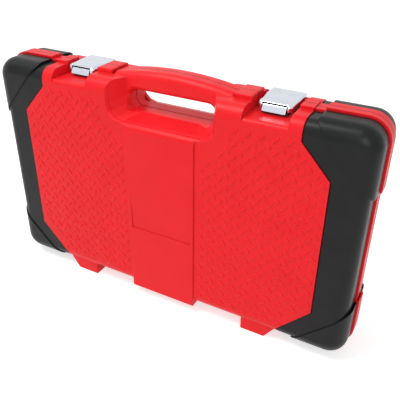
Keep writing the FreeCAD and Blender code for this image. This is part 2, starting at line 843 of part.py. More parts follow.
def latch_lever():
    """A pressed sheet lever: top plate, side flanges with pivot ears, and a finger lip at its front."""
    half = "lever_width / 2"
    rear = "latch_pivot_depth + lever_rear"
    block = box("lever_block", latch_span(half), ("-lever_front", rear),
                (f"{LATCH_TOP} - lever_flange", LATCH_TOP))
    doc.recompute()
    bounds = block.Shape.BoundBox

    def front_corner(edge):
        return edge.BoundBox.ZLength > NEAR and edge.BoundBox.YMax < bounds.YMin + NEAR

    def top_edge(edge):
        middle = edge.CenterOfMass
        return middle.z > bounds.ZMax - NEAR and middle.y < bounds.YMax - NEAR

    cornered = round_edges("lever_cornered", block, size("lever_corner_radius"), front_corner)
    rounded = round_edges("lever_rounded", cornered, size("lever_sheet"), top_edge)
    hollow = box("lever_hollow", latch_span(f"{half} - lever_sheet"),
                 ("-lever_front + lever_sheet", f"{rear} + cut_overrun"),
                 (f"{LATCH_TOP} - lever_flange - cut_overrun", f"{LATCH_TOP} - lever_sheet"))
    lip_half = f"{half} - lever_corner_radius - lever_slot"
    lip = box("lever_lip_plate", latch_span(lip_half), ("-lever_front", "-lever_front + lever_sheet"),
              (f"{LATCH_TOP} - lever_lip", f"{LATCH_TOP} - lever_sheet"))
    slot_depth = ("-lever_front - cut_overrun", "-lever_front + 2 * lever_sheet")
    slot_height = (f"{LATCH_TOP} - lever_lip - cut_overrun", f"{LATCH_TOP} - 1.5 * lever_sheet")
    near_slot = box("lever_near_slot", (f"{LATCH} + {lip_half}", f"{LATCH} + {lip_half} + lever_slot"),
                    slot_depth, slot_height)
    far_slot = box("lever_far_slot", (f"{LATCH} - ({lip_half}) - lever_slot", f"{LATCH} - ({lip_half})"),
                   slot_depth, slot_height)
    groove = box("lever_groove", latch_span(lip_half),
                 ("-lever_front - cut_overrun", "-lever_front + lever_sheet / 3"),
                 (f"{LATCH_TOP} - 2 * lever_sheet", f"{LATCH_TOP} - lever_sheet"))
    ears = [
        rod("lever_ear_near", "x", PIVOT, (f"{LATCH} + {half} - lever_sheet", f"{LATCH} + {half}"),
            "latch_ear_radius"),
        rod("lever_ear_far", "x", PIVOT, (f"{LATCH} - {half}", f"{LATCH} - {half} + lever_sheet"),
            "latch_ear_radius"),
    ]
    pressed = fuse("lever_pressed", cut("lever_shell", rounded, hollow), lip, *ears)
    pin_hole = rod("lever_pin_hole", "x", PIVOT, latch_span(f"{half} + cut_overrun"),
                   "latch_pin_radius + pin_clearance")
    return cut("lever", pressed, near_slot, far_slot, groove, pin_hole)


def rivet_holes(name, depth, floor, thickness):
    """The two rivet shanks of a latch plate, a clearance wider, through the plate and the shell."""
    holes = []
    for side, sign in (("near", "+"), ("far", "-")):
        holes.append(rod(
            f"{name}_{side}", "z", (f"{LATCH} {sign} rivet_spacing / 2", depth),
            (f"{floor} - shell_wall - cut_overrun", f"{floor} + {thickness} + cut_overrun"),
            "rivet_radius + pin_clearance",
        ))
    return holes


def rivets(name, depth, floor, thickness):
    """The two rivets of a latch plate, each a shank with a flat head."""
    solids = []
    for side, sign in (("near", "+"), ("far", "-")):
        centre = (f"{LATCH} {sign} rivet_spacing / 2", depth)
        top = f"{floor} + {thickness}"
        shank = rod(f"{name}_shank_{side}", "z", centre, (f"{floor} - shell_wall", top), "rivet_radius")
        head = cone(f"{name}_head_{side}", "z", centre, (top, f"{top} + rivet_head_height"),
                    ("rivet_head_radius", "rivet_head_radius - rivet_head_height"))
        solids.append(fuse(f"{name}_{side}", shank, head))
    return solids


def latch_bracket():
    """The sheet bracket in the base's recess that holds the lever's pin between two ears."""
    half = "(lever_width / 2 - lever_sheet - bracket_gap)"
    plate = box("bracket_plate", latch_span(half),
                ("latch_pivot_depth - bracket_front", "latch_pivot_depth + bracket_rear"),
                (BASE_FLOOR, f"{BASE_FLOOR} + bracket_sheet"))
    pieces = [plate]
    for side, low in (("near", f"{LATCH} + {half} - bracket_sheet"), ("far", f"{LATCH} - {half}")):
        span = (low, f"{low} + bracket_sheet")
        pieces.append(box(f"bracket_web_{side}", span,
                          ("latch_pivot_depth - latch_ear_radius", "latch_pivot_depth + latch_ear_radius"),
                          (BASE_FLOOR, PIVOT[1])))
        pieces.append(rod(f"bracket_ear_{side}", "x", PIVOT, span, "latch_ear_radius"))
    pin_hole = rod("bracket_pin_hole", "x", PIVOT, latch_span(f"{half} + cut_overrun"),
                   "latch_pin_radius + pin_clearance")
    return cut("bracket", fuse("bracket_whole", *pieces), pin_hole,
               *rivet_holes("bracket_hole", BRACKET_RIVET_DEPTH, BASE_FLOOR, "bracket_sheet"))


def latch_catch():
    """The steel catch in the lid's recess: a plate with a ridge that the lever's lip snaps over."""
    half = "catch_width / 2"
    plate = box("catch_plate", latch_span(half), (CATCH_FRONT, f"{CATCH_FRONT} + catch_length"),
                (LID_FLOOR, f"{LID_FLOOR} + catch_sheet"))
    ridge = box("catch_ridge", latch_span(half), (CATCH_FRONT, f"{CATCH_FRONT} + catch_sheet"),
                (LID_FLOOR, f"{LATCH_TOP} - lever_lip - catch_clearance"))
    return cut("catch", fuse("catch_whole", plate, ridge),
               *rivet_holes("catch_hole", CATCH_RIVET_DEPTH, LID_FLOOR, "catch_sheet"))


def both_sides(item, label):
    """A right-hand node and its mirror image as the left-hand node."""
    node(item, f"{label}_right")
    return node(mirror(f"{label}_left", item, ACROSS), f"{label}_left")


def group(label, solids):
    """Separate solids of one kind, as one node."""
    item = doc.addObject("Part::Compound", f"{label}_group")
    item.Links = solids
    return node(item, label)


def both_latches(solids):
    """Solids of the right-hand latch with their mirror images for the left-hand one."""
    return [each for solid in solids for each in pair(solid.Name, solid)]


# The two shells and their end caps. The lid's moulding is kept as three solids that meet under the caps.


def label_recess():
    """A plain field on the lid's band, deepest at its lower edge and running out to nothing at its top."""
    face = "-(lid_depth + band_rise)"
    low = f"({BOTTOM} + label_lift)"
    item = doc.addObject("Part::Wedge", "label_recess")
    values = {
        "Xmin": "-label_half_width", "Xmax": "label_half_width",
        "X2min": "-label_half_width", "X2max": "label_half_width",
        "Ymin": f"{face} - cut_overrun", "Ymax": f"{face} + label_depth",
        "Zmin": low, "Zmax": f"{low} + label_height * (1 + cut_overrun / label_depth)",
        "Z2min": low, "Z2max": low,
    }
    for key, value in values.items():
        item.setExpression(key, bound(value))
    return item


def slab(name, span):
    """All of the case over a span along X."""
    return box(name, span, (f"-{FAR}", FAR), ("-far_overrun", f"{TOP} + far_overrun"))


lid_bored = shell_half("lid", "lid_depth", "lid_recess_drop", "lid_depth + far_overrun", (1, 3))
lid_facing = mirror("lid_facing", lid_bored, THROUGH)
catch_holes = both_latches(
    rivet_holes("lid_catch_hole", CATCH_RIVET_DEPTH, LID_FLOOR, "catch_sheet"))
lid_moulding = cut("lid_moulding", lid_facing, label_recess(), *catch_holes)
lid_seam = f"({HALF} - ({CAVITY}) - end_seam)"
lid_middle = common("lid_middle", lid_moulding, slab("lid_middle_zone", (f"-{lid_seam}", lid_seam)))
lid_end = common("lid_end", lid_moulding, slab("lid_end_zone", (lid_seam, f"{HALF} + far_overrun")))
group("lid_shell", [lid_middle, *pair("lid_end", lid_end)])

base_bored = shell_half("base", "base_depth", "base_recess_drop", "base_recess_reach", (0, 2, 4))
bracket_holes = both_latches(
    rivet_holes("base_bracket_hole", BRACKET_RIVET_DEPTH, BASE_FLOOR, "bracket_sheet"))
node(cut("base_shell", base_bored, *bracket_holes), "base_shell")

lid_cap = end_cap("lid", "lid_depth")
node(mirror("lid_end_cap_right", lid_cap, THROUGH), "lid_end_cap_right")
node(mirror("lid_end_cap_left", doc.getObject("lid_end_cap_right"), ACROSS), "lid_end_cap_left")
both_sides(end_cap("base", "base_depth"), "base_end_cap")

# Hinge pins and latches

hinge_pin = rod("hinge_pin_right", "x", ("0", "hinge_axis_height"),
                ("hinge_start", "hinge_start + 5 * (knuckle_length + knuckle_gap) - knuckle_gap"),
                "hinge_pin_radius")
both_sides(hinge_pin, "hinge_pin")
both_sides(latch_lever(), "latch_lever")
latch_pin = rod("latch_pin_right", "x", PIVOT, latch_span("lever_width / 2"), "latch_pin_radius")
both_sides(latch_pin, "latch_pin")
both_sides(latch_bracket(), "latch_bracket")
both_sides(latch_catch(), "latch_catch")


group("bracket_rivets", both_latches(
    rivets("bracket_rivet", BRACKET_RIVET_DEPTH, BASE_FLOOR, "bracket_sheet")))
group("catch_rivets", both_latches(
    rivets("catch_rivet", CATCH_RIVET_DEPTH, LID_FLOOR, "catch_sheet")))

# Ratchet

HEAD = ("ratchet_head_x", "tool_height")
PAWL = ("(ratchet_head_x + pawl_distance)", "tool_height")
NECK = ("(ratchet_head_x + neck_distance)", "tool_height")
BAR = ("tool_depth", "tool_height")
HEAD_BACK = "(tool_depth - head_thickness / 2)"
HEAD_FACE = "(tool_depth + head_thickness / 2)"
COVER_SEAT = f"({HEAD_FACE} - cover_thickness)"
CHAMBER = f"({HEAD_BACK} + head_back_wall)"
SQUARE_START = f"({HEAD_FACE} + gear_clearance)"
SHANK_START = "(ratchet_head_x + shank_start)"
GRIP_START = f"({SHANK_START} + shank_length)"
PAWL_BACK = f"({CHAMBER} + gear_clearance)"
BALL_LIFT = "(drive_square / 2 + drive_ball_proud - drive_ball_radius)"
COVER_SCREW_ANGLES = (115, 180, 245)


def turned(points, pivot, angle):
    """Points about a pivot in the X-Z plane, turned from +X towards +Z by an angle."""
    return [
        (f"{pivot[0]} + ({x}) * cos({angle}) - ({z}) * sin({angle})",
         f"{pivot[1]} + ({x}) * sin({angle}) + ({z}) * cos({angle})")
        for x, z in points
    ]


def square(name, axis, centre, span, half):
    """A square prism along an axis, by half of its side."""
    sides = [(f"{place} - ({half})", f"{place} + ({half})") for place in centre]
    sides.insert("xyz".index(axis), span)
    return box(name, *sides)


def drive_hole(name, axis, centre, span):
    """The square hole that a drive square goes into."""
    return square(name, axis, centre, span, "drive_square / 2 + drive_clearance / 2")


def detent(name, centre):
    """A drive square's ball on its +Z side, and the channel that it sits in."""
    x, y, z = centre
    middle = f"{z} + {BALL_LIFT}"
    channel = rod(f"{name}_channel", "z", (x, y), (middle, f"{z} + drive_square"), "drive_ball_radius")
    return ball(name, (x, y, middle), "drive_ball_radius"), channel


def pear(name, span, head_radius, neck_radius):
    """The ratchet head's outline: a round head and a smaller round neck."""
    return fuse(name, rod(f"{name}_head", "y", HEAD, span, head_radius),
                rod(f"{name}_neck", "y", NECK, span, neck_radius))


def cover_screw_places():
    """The cover screws' centres, round the far side of the head."""
    return [turned([("cover_screw_circle", "0")], HEAD, angle)[0] for angle in COVER_SCREW_ANGLES]


def ratchet_body():
    """The forged head, neck, shank and tang, bored for the works."""
    span = (HEAD_BACK, HEAD_FACE)
    sharp = pear("ratchet_head_sharp", span, "head_radius", "neck_radius")
    doc.recompute()
    head = round_edges("ratchet_head", sharp, size("head_edge_radius"), on_depth(sharp.Shape.BoundBox.YMin))
    shank = rod("ratchet_shank", "x", BAR, (SHANK_START, GRIP_START), "shank_radius")
    tang = rod("ratchet_tang", "x", BAR, (GRIP_START, f"{GRIP_START} + tang_length"), "tang_radius")
    through = (f"{HEAD_BACK} - cut_overrun", f"{CHAMBER} + cut_overrun")
    bores = [
        rod("gear_chamber", "y", HEAD, (CHAMBER, HEAD_FACE), "gear_radius + gear_clearance"),
        rod("pawl_chamber", "y", PAWL, (CHAMBER, HEAD_FACE), "pawl_chamber_radius"),
        pear("cover_seat", (COVER_SEAT, f"{HEAD_FACE} + cut_overrun"),
             "cover_radius + running_gap", "cover_neck_radius + running_gap"),
        rod("button_hole", "y", HEAD, through, "button_stem_radius + running_gap"),
        rod("selector_hole", "y", PAWL, through, "selector_shaft_radius + running_gap"),
    ]
    for count, place in enumerate(cover_screw_places(), start=1):
        bores.append(rod(f"head_screw_hole_{count}", "y", place,
                         (f"{HEAD_FACE} - cover_screw_length - cut_overrun", HEAD_FACE),
                         "cover_screw_radius + pin_clearance"))
    return cut("ratchet_body", fuse("ratchet_solid", head, shank, tang), *bores)


def ratchet_cover():
    """The plate that closes the head, round the gear's neck."""
    plate = pear("cover_plate", (COVER_SEAT, HEAD_FACE), "cover_radius", "cover_neck_radius")
    over = f"{HEAD_FACE} + cut_overrun"
    holes = [rod("cover_neck_hole", "y", HEAD, (CHAMBER, over), "gear_neck_radius + running_gap")]
    for count, place in enumerate(cover_screw_places(), start=1):
        holes.append(rod(f"cover_hole_{count}", "y", place, (CHAMBER, over),
                         "cover_screw_radius + pin_clearance"))
        holes.append(rod(f"cover_sink_{count}", "y", place,
                         (f"{HEAD_FACE} - cover_screw_head_height", over),
                         "cover_screw_head_radius + running_gap"))
    return cut("ratchet_cover", plate, *holes)


def cover_screws():
    """The screws that hold the cover, with their heads sunk in it."""
    solids = []
    for count, place in enumerate(cover_screw_places(), start=1):
        under = f"{HEAD_FACE} - cover_screw_head_height"
        shank = rod(f"cover_screw_shank_{count}", "y", place, (f"{HEAD_FACE} - cover_screw_length", under),
                    "cover_screw_radius")
        head = rod(f"cover_screw_head_{count}", "y", place, (under, HEAD_FACE), "cover_screw_head_radius")
        solids.append(fuse(f"cover_screw_{count}", shank, head))
    return solids


def drive_gear(ball_tools):
    """The toothed gear with its neck and drive square, hollow for the release button."""
    teeth = int(size("gear_teeth"))
    points = []
    for count in range(2 * teeth):
        radius = "gear_radius" if count % 2 else "gear_radius - gear_tooth"
        points += turned([(radius, "0")], HEAD, 180 * count / teeth)
    back = f"{CHAMBER} + running_gap"
    toothed = prism("gear_teeth_ring", points, (back, f"{COVER_SEAT} - running_gap"))
    neck = rod("gear_neck", "y", HEAD, (f"{COVER_SEAT} - running_gap", SQUARE_START), "gear_neck_radius")
    drive_span = (SQUARE_START, f"{SQUARE_START} + drive_length")
    drive = square("gear_square", "y", HEAD, drive_span, "drive_square / 2")
    bore_span = (CHAMBER, f"{CHAMBER} + gear_bore_depth")
    bore = rod("gear_bore", "y", HEAD, bore_span, "button_radius + running_gap")
    return cut("drive_gear", fuse("gear_solid", toothed, neck, drive), bore, *ball_tools)


def pawl():
    """The rocker whose one tooth or the other holds the gear, drawn in the first position."""
    half = "pawl_hub_radius"
    points = turned([
        ("0", half), ("-pawl_reach", half), ("-pawl_waist", "pawl_notch"),
        ("-pawl_waist", "-pawl_notch"), ("-pawl_reach", f"-{half}"), ("0", f"-{half}"),
    ], PAWL, "pawl_rest_angle")
    span = (PAWL_BACK, f"{PAWL_BACK} + pawl_thickness")
    hub = rod("pawl_hub", "y", PAWL, span, half)
    bore = rod("pawl_bore", "y", PAWL, (CHAMBER, COVER_SEAT), "selector_shaft_radius + running_gap")
    return cut("pawl", fuse("pawl_solid", prism("pawl_arms", points, span), hub), bore)


def direction_lever():
    """The thumb lever on the back of the head, with the shaft that the pawl rocks on."""
    inner = f"{HEAD_BACK} - running_gap"
    span = (f"{inner} - selector_thickness", inner)
    points = turned([
        ("0", "selector_hub_radius"), ("0", "-selector_hub_radius"),
        ("selector_length", "-selector_tip"), ("selector_length", "selector_tip"),
    ], PAWL, "selector_rest_angle")
    hub = rod("selector_hub", "y", PAWL, span, "selector_hub_radius")
    shaft = rod("selector_shaft", "y", PAWL, (inner, f"{PAWL_BACK} + pawl_thickness"),
                "selector_shaft_radius")
    tip = rod("selector_end", "y", turned([("selector_length", "0")], PAWL, "selector_rest_angle")[0], span,
              "selector_tip")
    return fuse("direction_lever", prism("selector_arm", points, span), hub, shaft, tip)


def release_button():
    """The push button through the back of the head, kept in by its flange inside the gear."""
    flange_back = f"{CHAMBER} + gear_clearance"
    stem = rod("button_stem", "y", HEAD, (f"{HEAD_BACK} - button_proud", flange_back), "button_stem_radius")
    flange = rod("button_flange_disc", "y", HEAD, (flange_back, f"{flange_back} + button_flange"),
                 "button_radius")
    return fuse("release_button", stem, flange)


def hand_grip():
    """The moulded grip on the tang, with rings cut round it."""
    grip_span = (GRIP_START, f"{GRIP_START} + hand_grip_length")
    sharp = rod("hand_grip_sharp", "x", BAR, grip_span, "hand_grip_radius")
    doc.recompute()

    def end_edge(edge):
        return edge.BoundBox.XLength < NEAR

    rounded = round_edges("hand_grip_rounded", sharp, size("hand_grip_end_radius"), end_edge)
    cuts = [rod("tang_bore", "x", BAR, (GRIP_START, f"{GRIP_START} + tang_length"), "tang_radius")]
    for count in range(int(size("hand_grip_grooves"))):
        low = f"{GRIP_START} + groove_start + {count} * groove_pitch"
        span = (low, f"{low} + groove_width")
        cuts.append(cut(
            f"groove_{count}",
            rod(f"groove_outer_{count}", "x", BAR, span, "hand_grip_radius + cut_overrun"),
            rod(f"groove_inner_{count}", "x", BAR, span, "hand_grip_radius - groove_depth"),
        ))
    return cut("ratchet_grip", rounded, *cuts)


drive_ball, drive_channel = detent("drive_ball", (HEAD[0], f"{SQUARE_START} + drive_length / 2", HEAD[1]))
node(ratchet_body(), "ratchet_body")
node(hand_grip(), "ratchet_grip")
node(ratchet_cover(), "ratchet_cover")
group("cover_screws", cover_screws())
node(drive_gear((drive_ball, drive_channel)), "drive_gear")
node(drive_ball, "drive_ball")
node(pawl(), "pawl")
node(direction_lever(), "direction_lever")
node(release_button(), "release_button")

# Extension bars and sockets, in rows above the ratchet

ROWS = {"tool": "tool_height"}
for lower, upper in (("tool", "extension"), ("extension", "small"), ("small", "large"), ("large", "plug")):
    ROWS[upper] = f"({ROWS[lower]} + {upper}_row_step)"


def extension(label, start, length, height):
    """An extension bar: a head with a square hole, a bar and a drive square with its ball."""
    centre = ("tool_depth", height)
    head_end = f"{start} + extension_head_length"
    taper_end = f"{head_end} + extension_taper"
    end = f"{start} + {length}"
    square_start = f"{end} - drive_length"
    detent_ball, channel = detent(f"{label}_ball", (f"{end} - drive_length / 2", *centre))
    solid = fuse(
        f"{label}_solid",
        rod(f"{label}_head", "x", centre, (start, head_end), "extension_head_radius"),
        cone(f"{label}_taper", "x", centre, (head_end, taper_end),
             ("extension_head_radius", "extension_bar_radius")),
        rod(f"{label}_bar", "x", centre, (taper_end, square_start), "extension_bar_radius"),
        square(f"{label}_square", "x", centre, (square_start, end), "drive_square / 2"),
    )
    hole_span = (f"{start} - cut_overrun", f"{start} + drive_hole_depth")
    hole = drive_hole(f"{label}_hole", "x", centre, hole_span)
    node(cut(label, solid, hole, detent_ball, channel), label)
    return detent_ball


def socket_radii(flats):
    """The outer radii at a socket's hexagon end and at its drive end."""
    nose = f"(({flats} + socket_clearance) / sqrt(3) + socket_wall)"
    return nose, f"max(socket_least_radius, socket_drive_share * {nose})"


def mouth_chamfer(name, axis, centre, mouth, inward, flats):
    """The cone that leads a bolt head into the hexagon; inward is the sign into the socket."""
    wide = f"({flats} + socket_clearance) / sqrt(3)"
    narrow = f"{wide} - socket_chamfer"
    far = f"{mouth} {inward} socket_chamfer"
    if inward == "+":
        return cone(name, axis, centre, (mouth, far), (wide, narrow))
    return cone(name, axis, centre, (far, mouth), (narrow, wide))


def socket(label, flats, centre, length):
    """A hexagon socket that stands on the floor of its pocket with its mouth towards the lid."""
    nose, drive = socket_radii(flats)
    floor = "pocket_floor"
    mouth = f"({floor} - {length})"
    hex_end = f"({mouth} + socket_hex_share * {flats} + socket_hex_least)"
    nose_end = f"({hex_end} + socket_nose)"
    taper_end = f"({nose_end} + socket_taper)"
    solid = fuse(
        f"{label}_solid",
        rod(f"{label}_nose", "y", centre, (mouth, nose_end), nose),
        cone(f"{label}_taper", "y", centre, (nose_end, taper_end), (nose, drive)),
        rod(f"{label}_drive", "y", centre, (taper_end, floor), drive),
    )
    node(cut(
        label, solid,
        hexagon(f"{label}_hexagon", "y", centre, (f"{mouth} - cut_overrun", hex_end),
                f"{flats} + socket_clearance"),
        mouth_chamfer(f"{label}_chamfer", "y", centre, mouth, "+", flats),
        rod(f"{label}_bore", "y", centre, (mouth, floor), "socket_bore_radius"),
        drive_hole(f"{label}_square", "y", centre,
                   (f"{floor} - drive_hole_depth", f"{floor} + cut_overrun")),
    ), label)


def plug_socket(label, flats, start):
    """A deep socket that lies along X, with its drive square at the low end."""
    nose, drive = socket_radii(flats)
    centre = ("tool_depth", ROWS["plug"])
    end = f"({start} + plug_socket_length)"
    throat = f"({end} - plug_throat_depth)"
    taper = f"({throat} - socket_taper)"
    solid = fuse(
        f"{label}_solid",
        rod(f"{label}_nose", "x", centre, (throat, end), nose),
        cone(f"{label}_taper", "x", centre, (taper, throat), (drive, nose)),
        rod(f"{label}_drive", "x", centre, (start, taper), drive),
    )
    node(cut(
        label, solid,
        hexagon(f"{label}_hexagon", "x", centre, (f"{end} - plug_hex_depth", f"{end} + cut_overrun"),
                f"{flats} + socket_clearance"),
        mouth_chamfer(f"{label}_chamfer", "x", centre, end, "-", flats),
        rod(f"{label}_throat", "x", centre, (throat, end), f"{flats} / 2"),
        rod(f"{label}_bore", "x", centre, (start, end), "socket_bore_radius"),
        drive_hole(f"{label}_square", "x", centre,
                   (f"{start} - cut_overrun", f"{start} + drive_hole_depth")),
    ), label)


def socket_row(row, flats_list):
    """A row of sockets in order of size, centred on the case."""
    for count, flats in enumerate(flats_list):
        steps = count - (len(flats_list) - 1) / 2
        length = "socket_long_length" if flats >= LONG_SOCKET_FROM else "socket_length"
        centre = (f"{steps} * {row}_row_pitch", ROWS[row])
        socket(f"socket_{flats}", f"flats_{flats}", centre, length)


group("extension_balls", [
    extension("extension_long", "extension_long_start", "extension_long_length", ROWS["extension"]),
    extension("extension_short", "extension_short_start", "extension_short_length", "tool_height"),
])
socket_row("small", SMALL_SOCKETS)
socket_row("large", LARGE_SOCKETS)
for flats, side in zip(PLUG_SOCKETS, ("-", "")):
    low_end = f"({side}plug_socket_middle - plug_socket_length / 2)"
    plug_socket(f"plug_socket_{flats}", f"flats_{flats}", low_end)

# Foam inlay: a floor, bars between the rows of tools and blocks between the tools of a row

INLAY_END = f"({HALF} - ({CAVITY}) - inlay_end_gap)"
INLAY_SILL = f"({BOTTOM} + {CAVITY} + inlay_end_gap)"
INLAY_TOP = f"({TOP} - base_recess_drop - shell_wall - inlay_clearance)"
BASE_HOLLOW = f"(base_depth - cap_inset - ({UNDER}) - shell_wall)"
FULL_DEPTH = ("inlay_recess", "pocket_floor")
BLOCKS = []


def socket_reach(flats):
    """Half the width that a socket needs in its row."""
    return f"(max(socket_least_radius, {socket_radii(flats)[0]}) + pocket_clearance)"


def row_reach(row):
    """Half the width of a row of the inlay: its middle value and its growth along X."""
    if row == "tool":
        return "(head_radius + pocket_clearance)", "0"
    if row == "extension":
        return "(extension_head_radius + pocket_clearance)", "0"
    if row == "plug":
        return socket_reach(f"flats_{PLUG_SOCKETS[-1]}"), "0"
    flats_list = SMALL_SOCKETS if row == "small" else LARGE_SOCKETS
    first, last = (socket_reach(f"flats_{flats}") for flats in (flats_list[0], flats_list[-1]))
    return f"(({first} + {last}) / 2)", f"(({last} - {first}) / ({len(flats_list) - 1} * {row}_row_pitch))"


def row_edge(row, side, x):
    """The height of a row's upper or lower edge at a place along X; side is its sign."""
    middle, growth = row_reach(row)
    return f"({ROWS[row]} {side} ({middle} + {growth} * ({x})))"


def bar(name, lower, upper):
    """A bar of foam along the case, between two rows."""
    ends = (f"-{INLAY_END}", INLAY_END)
    below = [(x, row_edge(lower, "+", x)) for x in ends]
    above = [(x, row_edge(upper, "-", x)) for x in reversed(ends)]
    return prism(name, below + above, FULL_DEPTH)


def block(name, row, low, high):
    """A block of foam across a row, between two tools."""
    below = [(x, row_edge(row, "-", x)) for x in (low, high)]
    above = [(x, row_edge(row, "+", x)) for x in (high, low)]
    BLOCKS.append(prism(name, below + above, FULL_DEPTH))


def bed(name, row, x, half, under):
    """The foam under a tool that lies along X and, where its row is wider, a strip on each side of it."""
    low, high = f"({ROWS[row]} - {half})", f"({ROWS[row]} + {half})"
    BLOCKS.append(box(f"{name}_bed", x, (under, "pocket_floor"), (low, high)))
    if row == "tool":
        BLOCKS.append(box(f"{name}_lower_strip", x, FULL_DEPTH, (row_edge(row, "-", "0"), low)))
        BLOCKS.append(box(f"{name}_upper_strip", x, FULL_DEPTH, (high, row_edge(row, "+", "0"))))


def bar_rest(name, row, x, radius, under):
    """A raised rest on a bed that carries the thin part of a tool."""
    middle = ROWS[row]
    BLOCKS.append(box(f"{name}_rest", (x, f"{x} + bar_rest_length"), (f"tool_depth + {radius}", under),
                      (f"{middle} - {radius}", f"{middle} + {radius}")))


def extension_bed(label, row, start, length):
    """The bed of an extension bar and the rest under its drive end; gives the bed's two ends."""
    low, high = f"({start} - pocket_clearance)", f"({start} + {length} + pocket_clearance)"
    under = "tool_depth + extension_head_radius"
    bed(label, row, (low, high), "(extension_head_radius + pocket_clearance)", under)
    bar_rest(label, row, f"{start} + {length} - drive_length - bar_rest_inset", "extension_bar_radius", under)
    return low, high


def ratchet_bed():
    """The bed of the ratchet's handle, beside the deep pocket of its head; gives the pockets' two ends."""
    low = "(ratchet_head_x + neck_distance + neck_radius + pocket_clearance)"
    high = f"({GRIP_START} + hand_grip_length + pocket_clearance)"
    under = "tool_depth + hand_grip_radius"
    bed("ratchet", "tool", (low, high), "(hand_grip_radius + pocket_clearance)", under)
    bar_rest("ratchet", "tool", f"{SHANK_START} + bar_rest_inset", "shank_radius", under)
    return "(ratchet_head_x - head_radius - pocket_clearance)", high


def socket_blocks(row, flats_list):
    """The blocks between the sockets of a row and at its two ends."""
    start = f"-{INLAY_END}"
    for count, flats in enumerate(flats_list):
        middle = f"{count - (len(flats_list) - 1) / 2} * {row}_row_pitch"
        reach = socket_reach(f"flats_{flats}")
        block(f"{row}_block_{count}", row, start, f"({middle} - {reach})")
        start = f"({middle} + {reach})"
    block(f"{row}_block_{len(flats_list)}", row, start, INLAY_END)


def plug_bed(flats, side):
    """The bed of a spark plug socket and the block beyond its outer end; side is its sign in X."""
    middle = f"{side}plug_socket_middle"
    half_length = "(plug_socket_length / 2 + pocket_clearance)"
    low, high = f"({middle} - {half_length})", f"({middle} + {half_length})"
    nose = socket_radii(f"flats_{flats}")[0]
    bed(f"plug_{flats}", "plug", (low, high), row_reach("plug")[0], f"tool_depth + {nose}")
    outer = (f"-{INLAY_END}", low) if side else (high, INLAY_END)
    block(f"plug_{flats}_end_block", "plug", *outer)


def inlay_floor():
    """The floor under the rows, and a smaller one on each side of the handle for the spark plug sockets."""
    depth = ("pocket_floor", BASE_HOLLOW)
    reach = f"({HALF} - ({CAVITY}) - inlay_floor_gap)"
    rows_top = row_edge("plug", "-", "0")
    rows = box("inlay_floor_rows", (f"-{reach}", reach), depth,
               (f"{BOTTOM} + {CAVITY} + inlay_floor_gap", rows_top))
    side = box("inlay_floor_side", (f"{KEEP_HALF} + inlay_end_gap", reach), depth, (rows_top, INLAY_TOP))
    return [rows, *pair("inlay_floor_side", side)]


def inlay_bars():
    """The bar along the bottom, those between the rows and the two above the spark plug sockets."""
    sill_end = f"({INLAY_END} - inlay_corner_gap)"
    sill = box("inlay_sill", (f"-{sill_end}", sill_end), FULL_DEPTH, (INLAY_SILL, row_edge("tool", "-", "0")))
    rows = list(ROWS)
    between = [bar(f"inlay_bar_{lower}", lower, upper) for lower, upper in zip(rows, rows[1:])]
    top = box("inlay_top_bar", (f"{KEEP_HALF} + inlay_end_gap", INLAY_END), FULL_DEPTH,
              (row_edge("plug", "+", "0"), INLAY_TOP))
    return [sill, *between, *pair("inlay_top_bar", top)]


head_low, grip_high = ratchet_bed()
short_low, short_high = extension_bed("extension_short", "tool", "extension_short_start",
                                      "extension_short_length")
long_low, long_high = extension_bed("extension_long", "extension", "extension_long_start",
                                    "extension_long_length")
block("tool_block_left", "tool", f"-{INLAY_END}", head_low)
block("tool_block_middle", "tool", grip_high, short_low)
block("tool_block_right", "tool", short_high, INLAY_END)
block("extension_block_left", "extension", f"-{INLAY_END}", long_low)
block("extension_block_right", "extension", long_high, INLAY_END)
socket_blocks("small", SMALL_SOCKETS)
socket_blocks("large", LARGE_SOCKETS)
for flats, side in zip(PLUG_SOCKETS, ("-", "")):
    plug_bed(flats, side)
group("inlay_floor", inlay_floor())
group("inlay_bars", inlay_bars())
group("inlay_blocks", BLOCKS)


def write_parts():
    """Checks every object and each finished solid, then writes one file per node."""
    doc.recompute()
    failed = [item.Name for item in doc.Objects if {"Invalid", "Error"} & set(item.State)]
    if failed:
        raise RuntimeError(f"objects failed: {failed}")
    for item in NODES:
        if item.Shape.isNull() or not item.Shape.isValid() or not item.Shape.Solids:
            raise RuntimeError(f"bad shape: {item.Label}")
    os.makedirs("parts", exist_ok=True)
    for item in NODES:
        item.Shape.exportStep(f"parts/{item.Label}.step")
        print(item.Label, len(item.Shape.Solids), round(item.Shape.Volume, 1))


write_parts()
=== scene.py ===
"""Looks of the closed socket wrench case: moulded red shells with tread bars, black end caps, bright
latches, and the tools in their foam inside. Lengths are in metres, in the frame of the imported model."""

import json
import math

import bpy
import numpy as np
from mathutils import Matrix, Vector


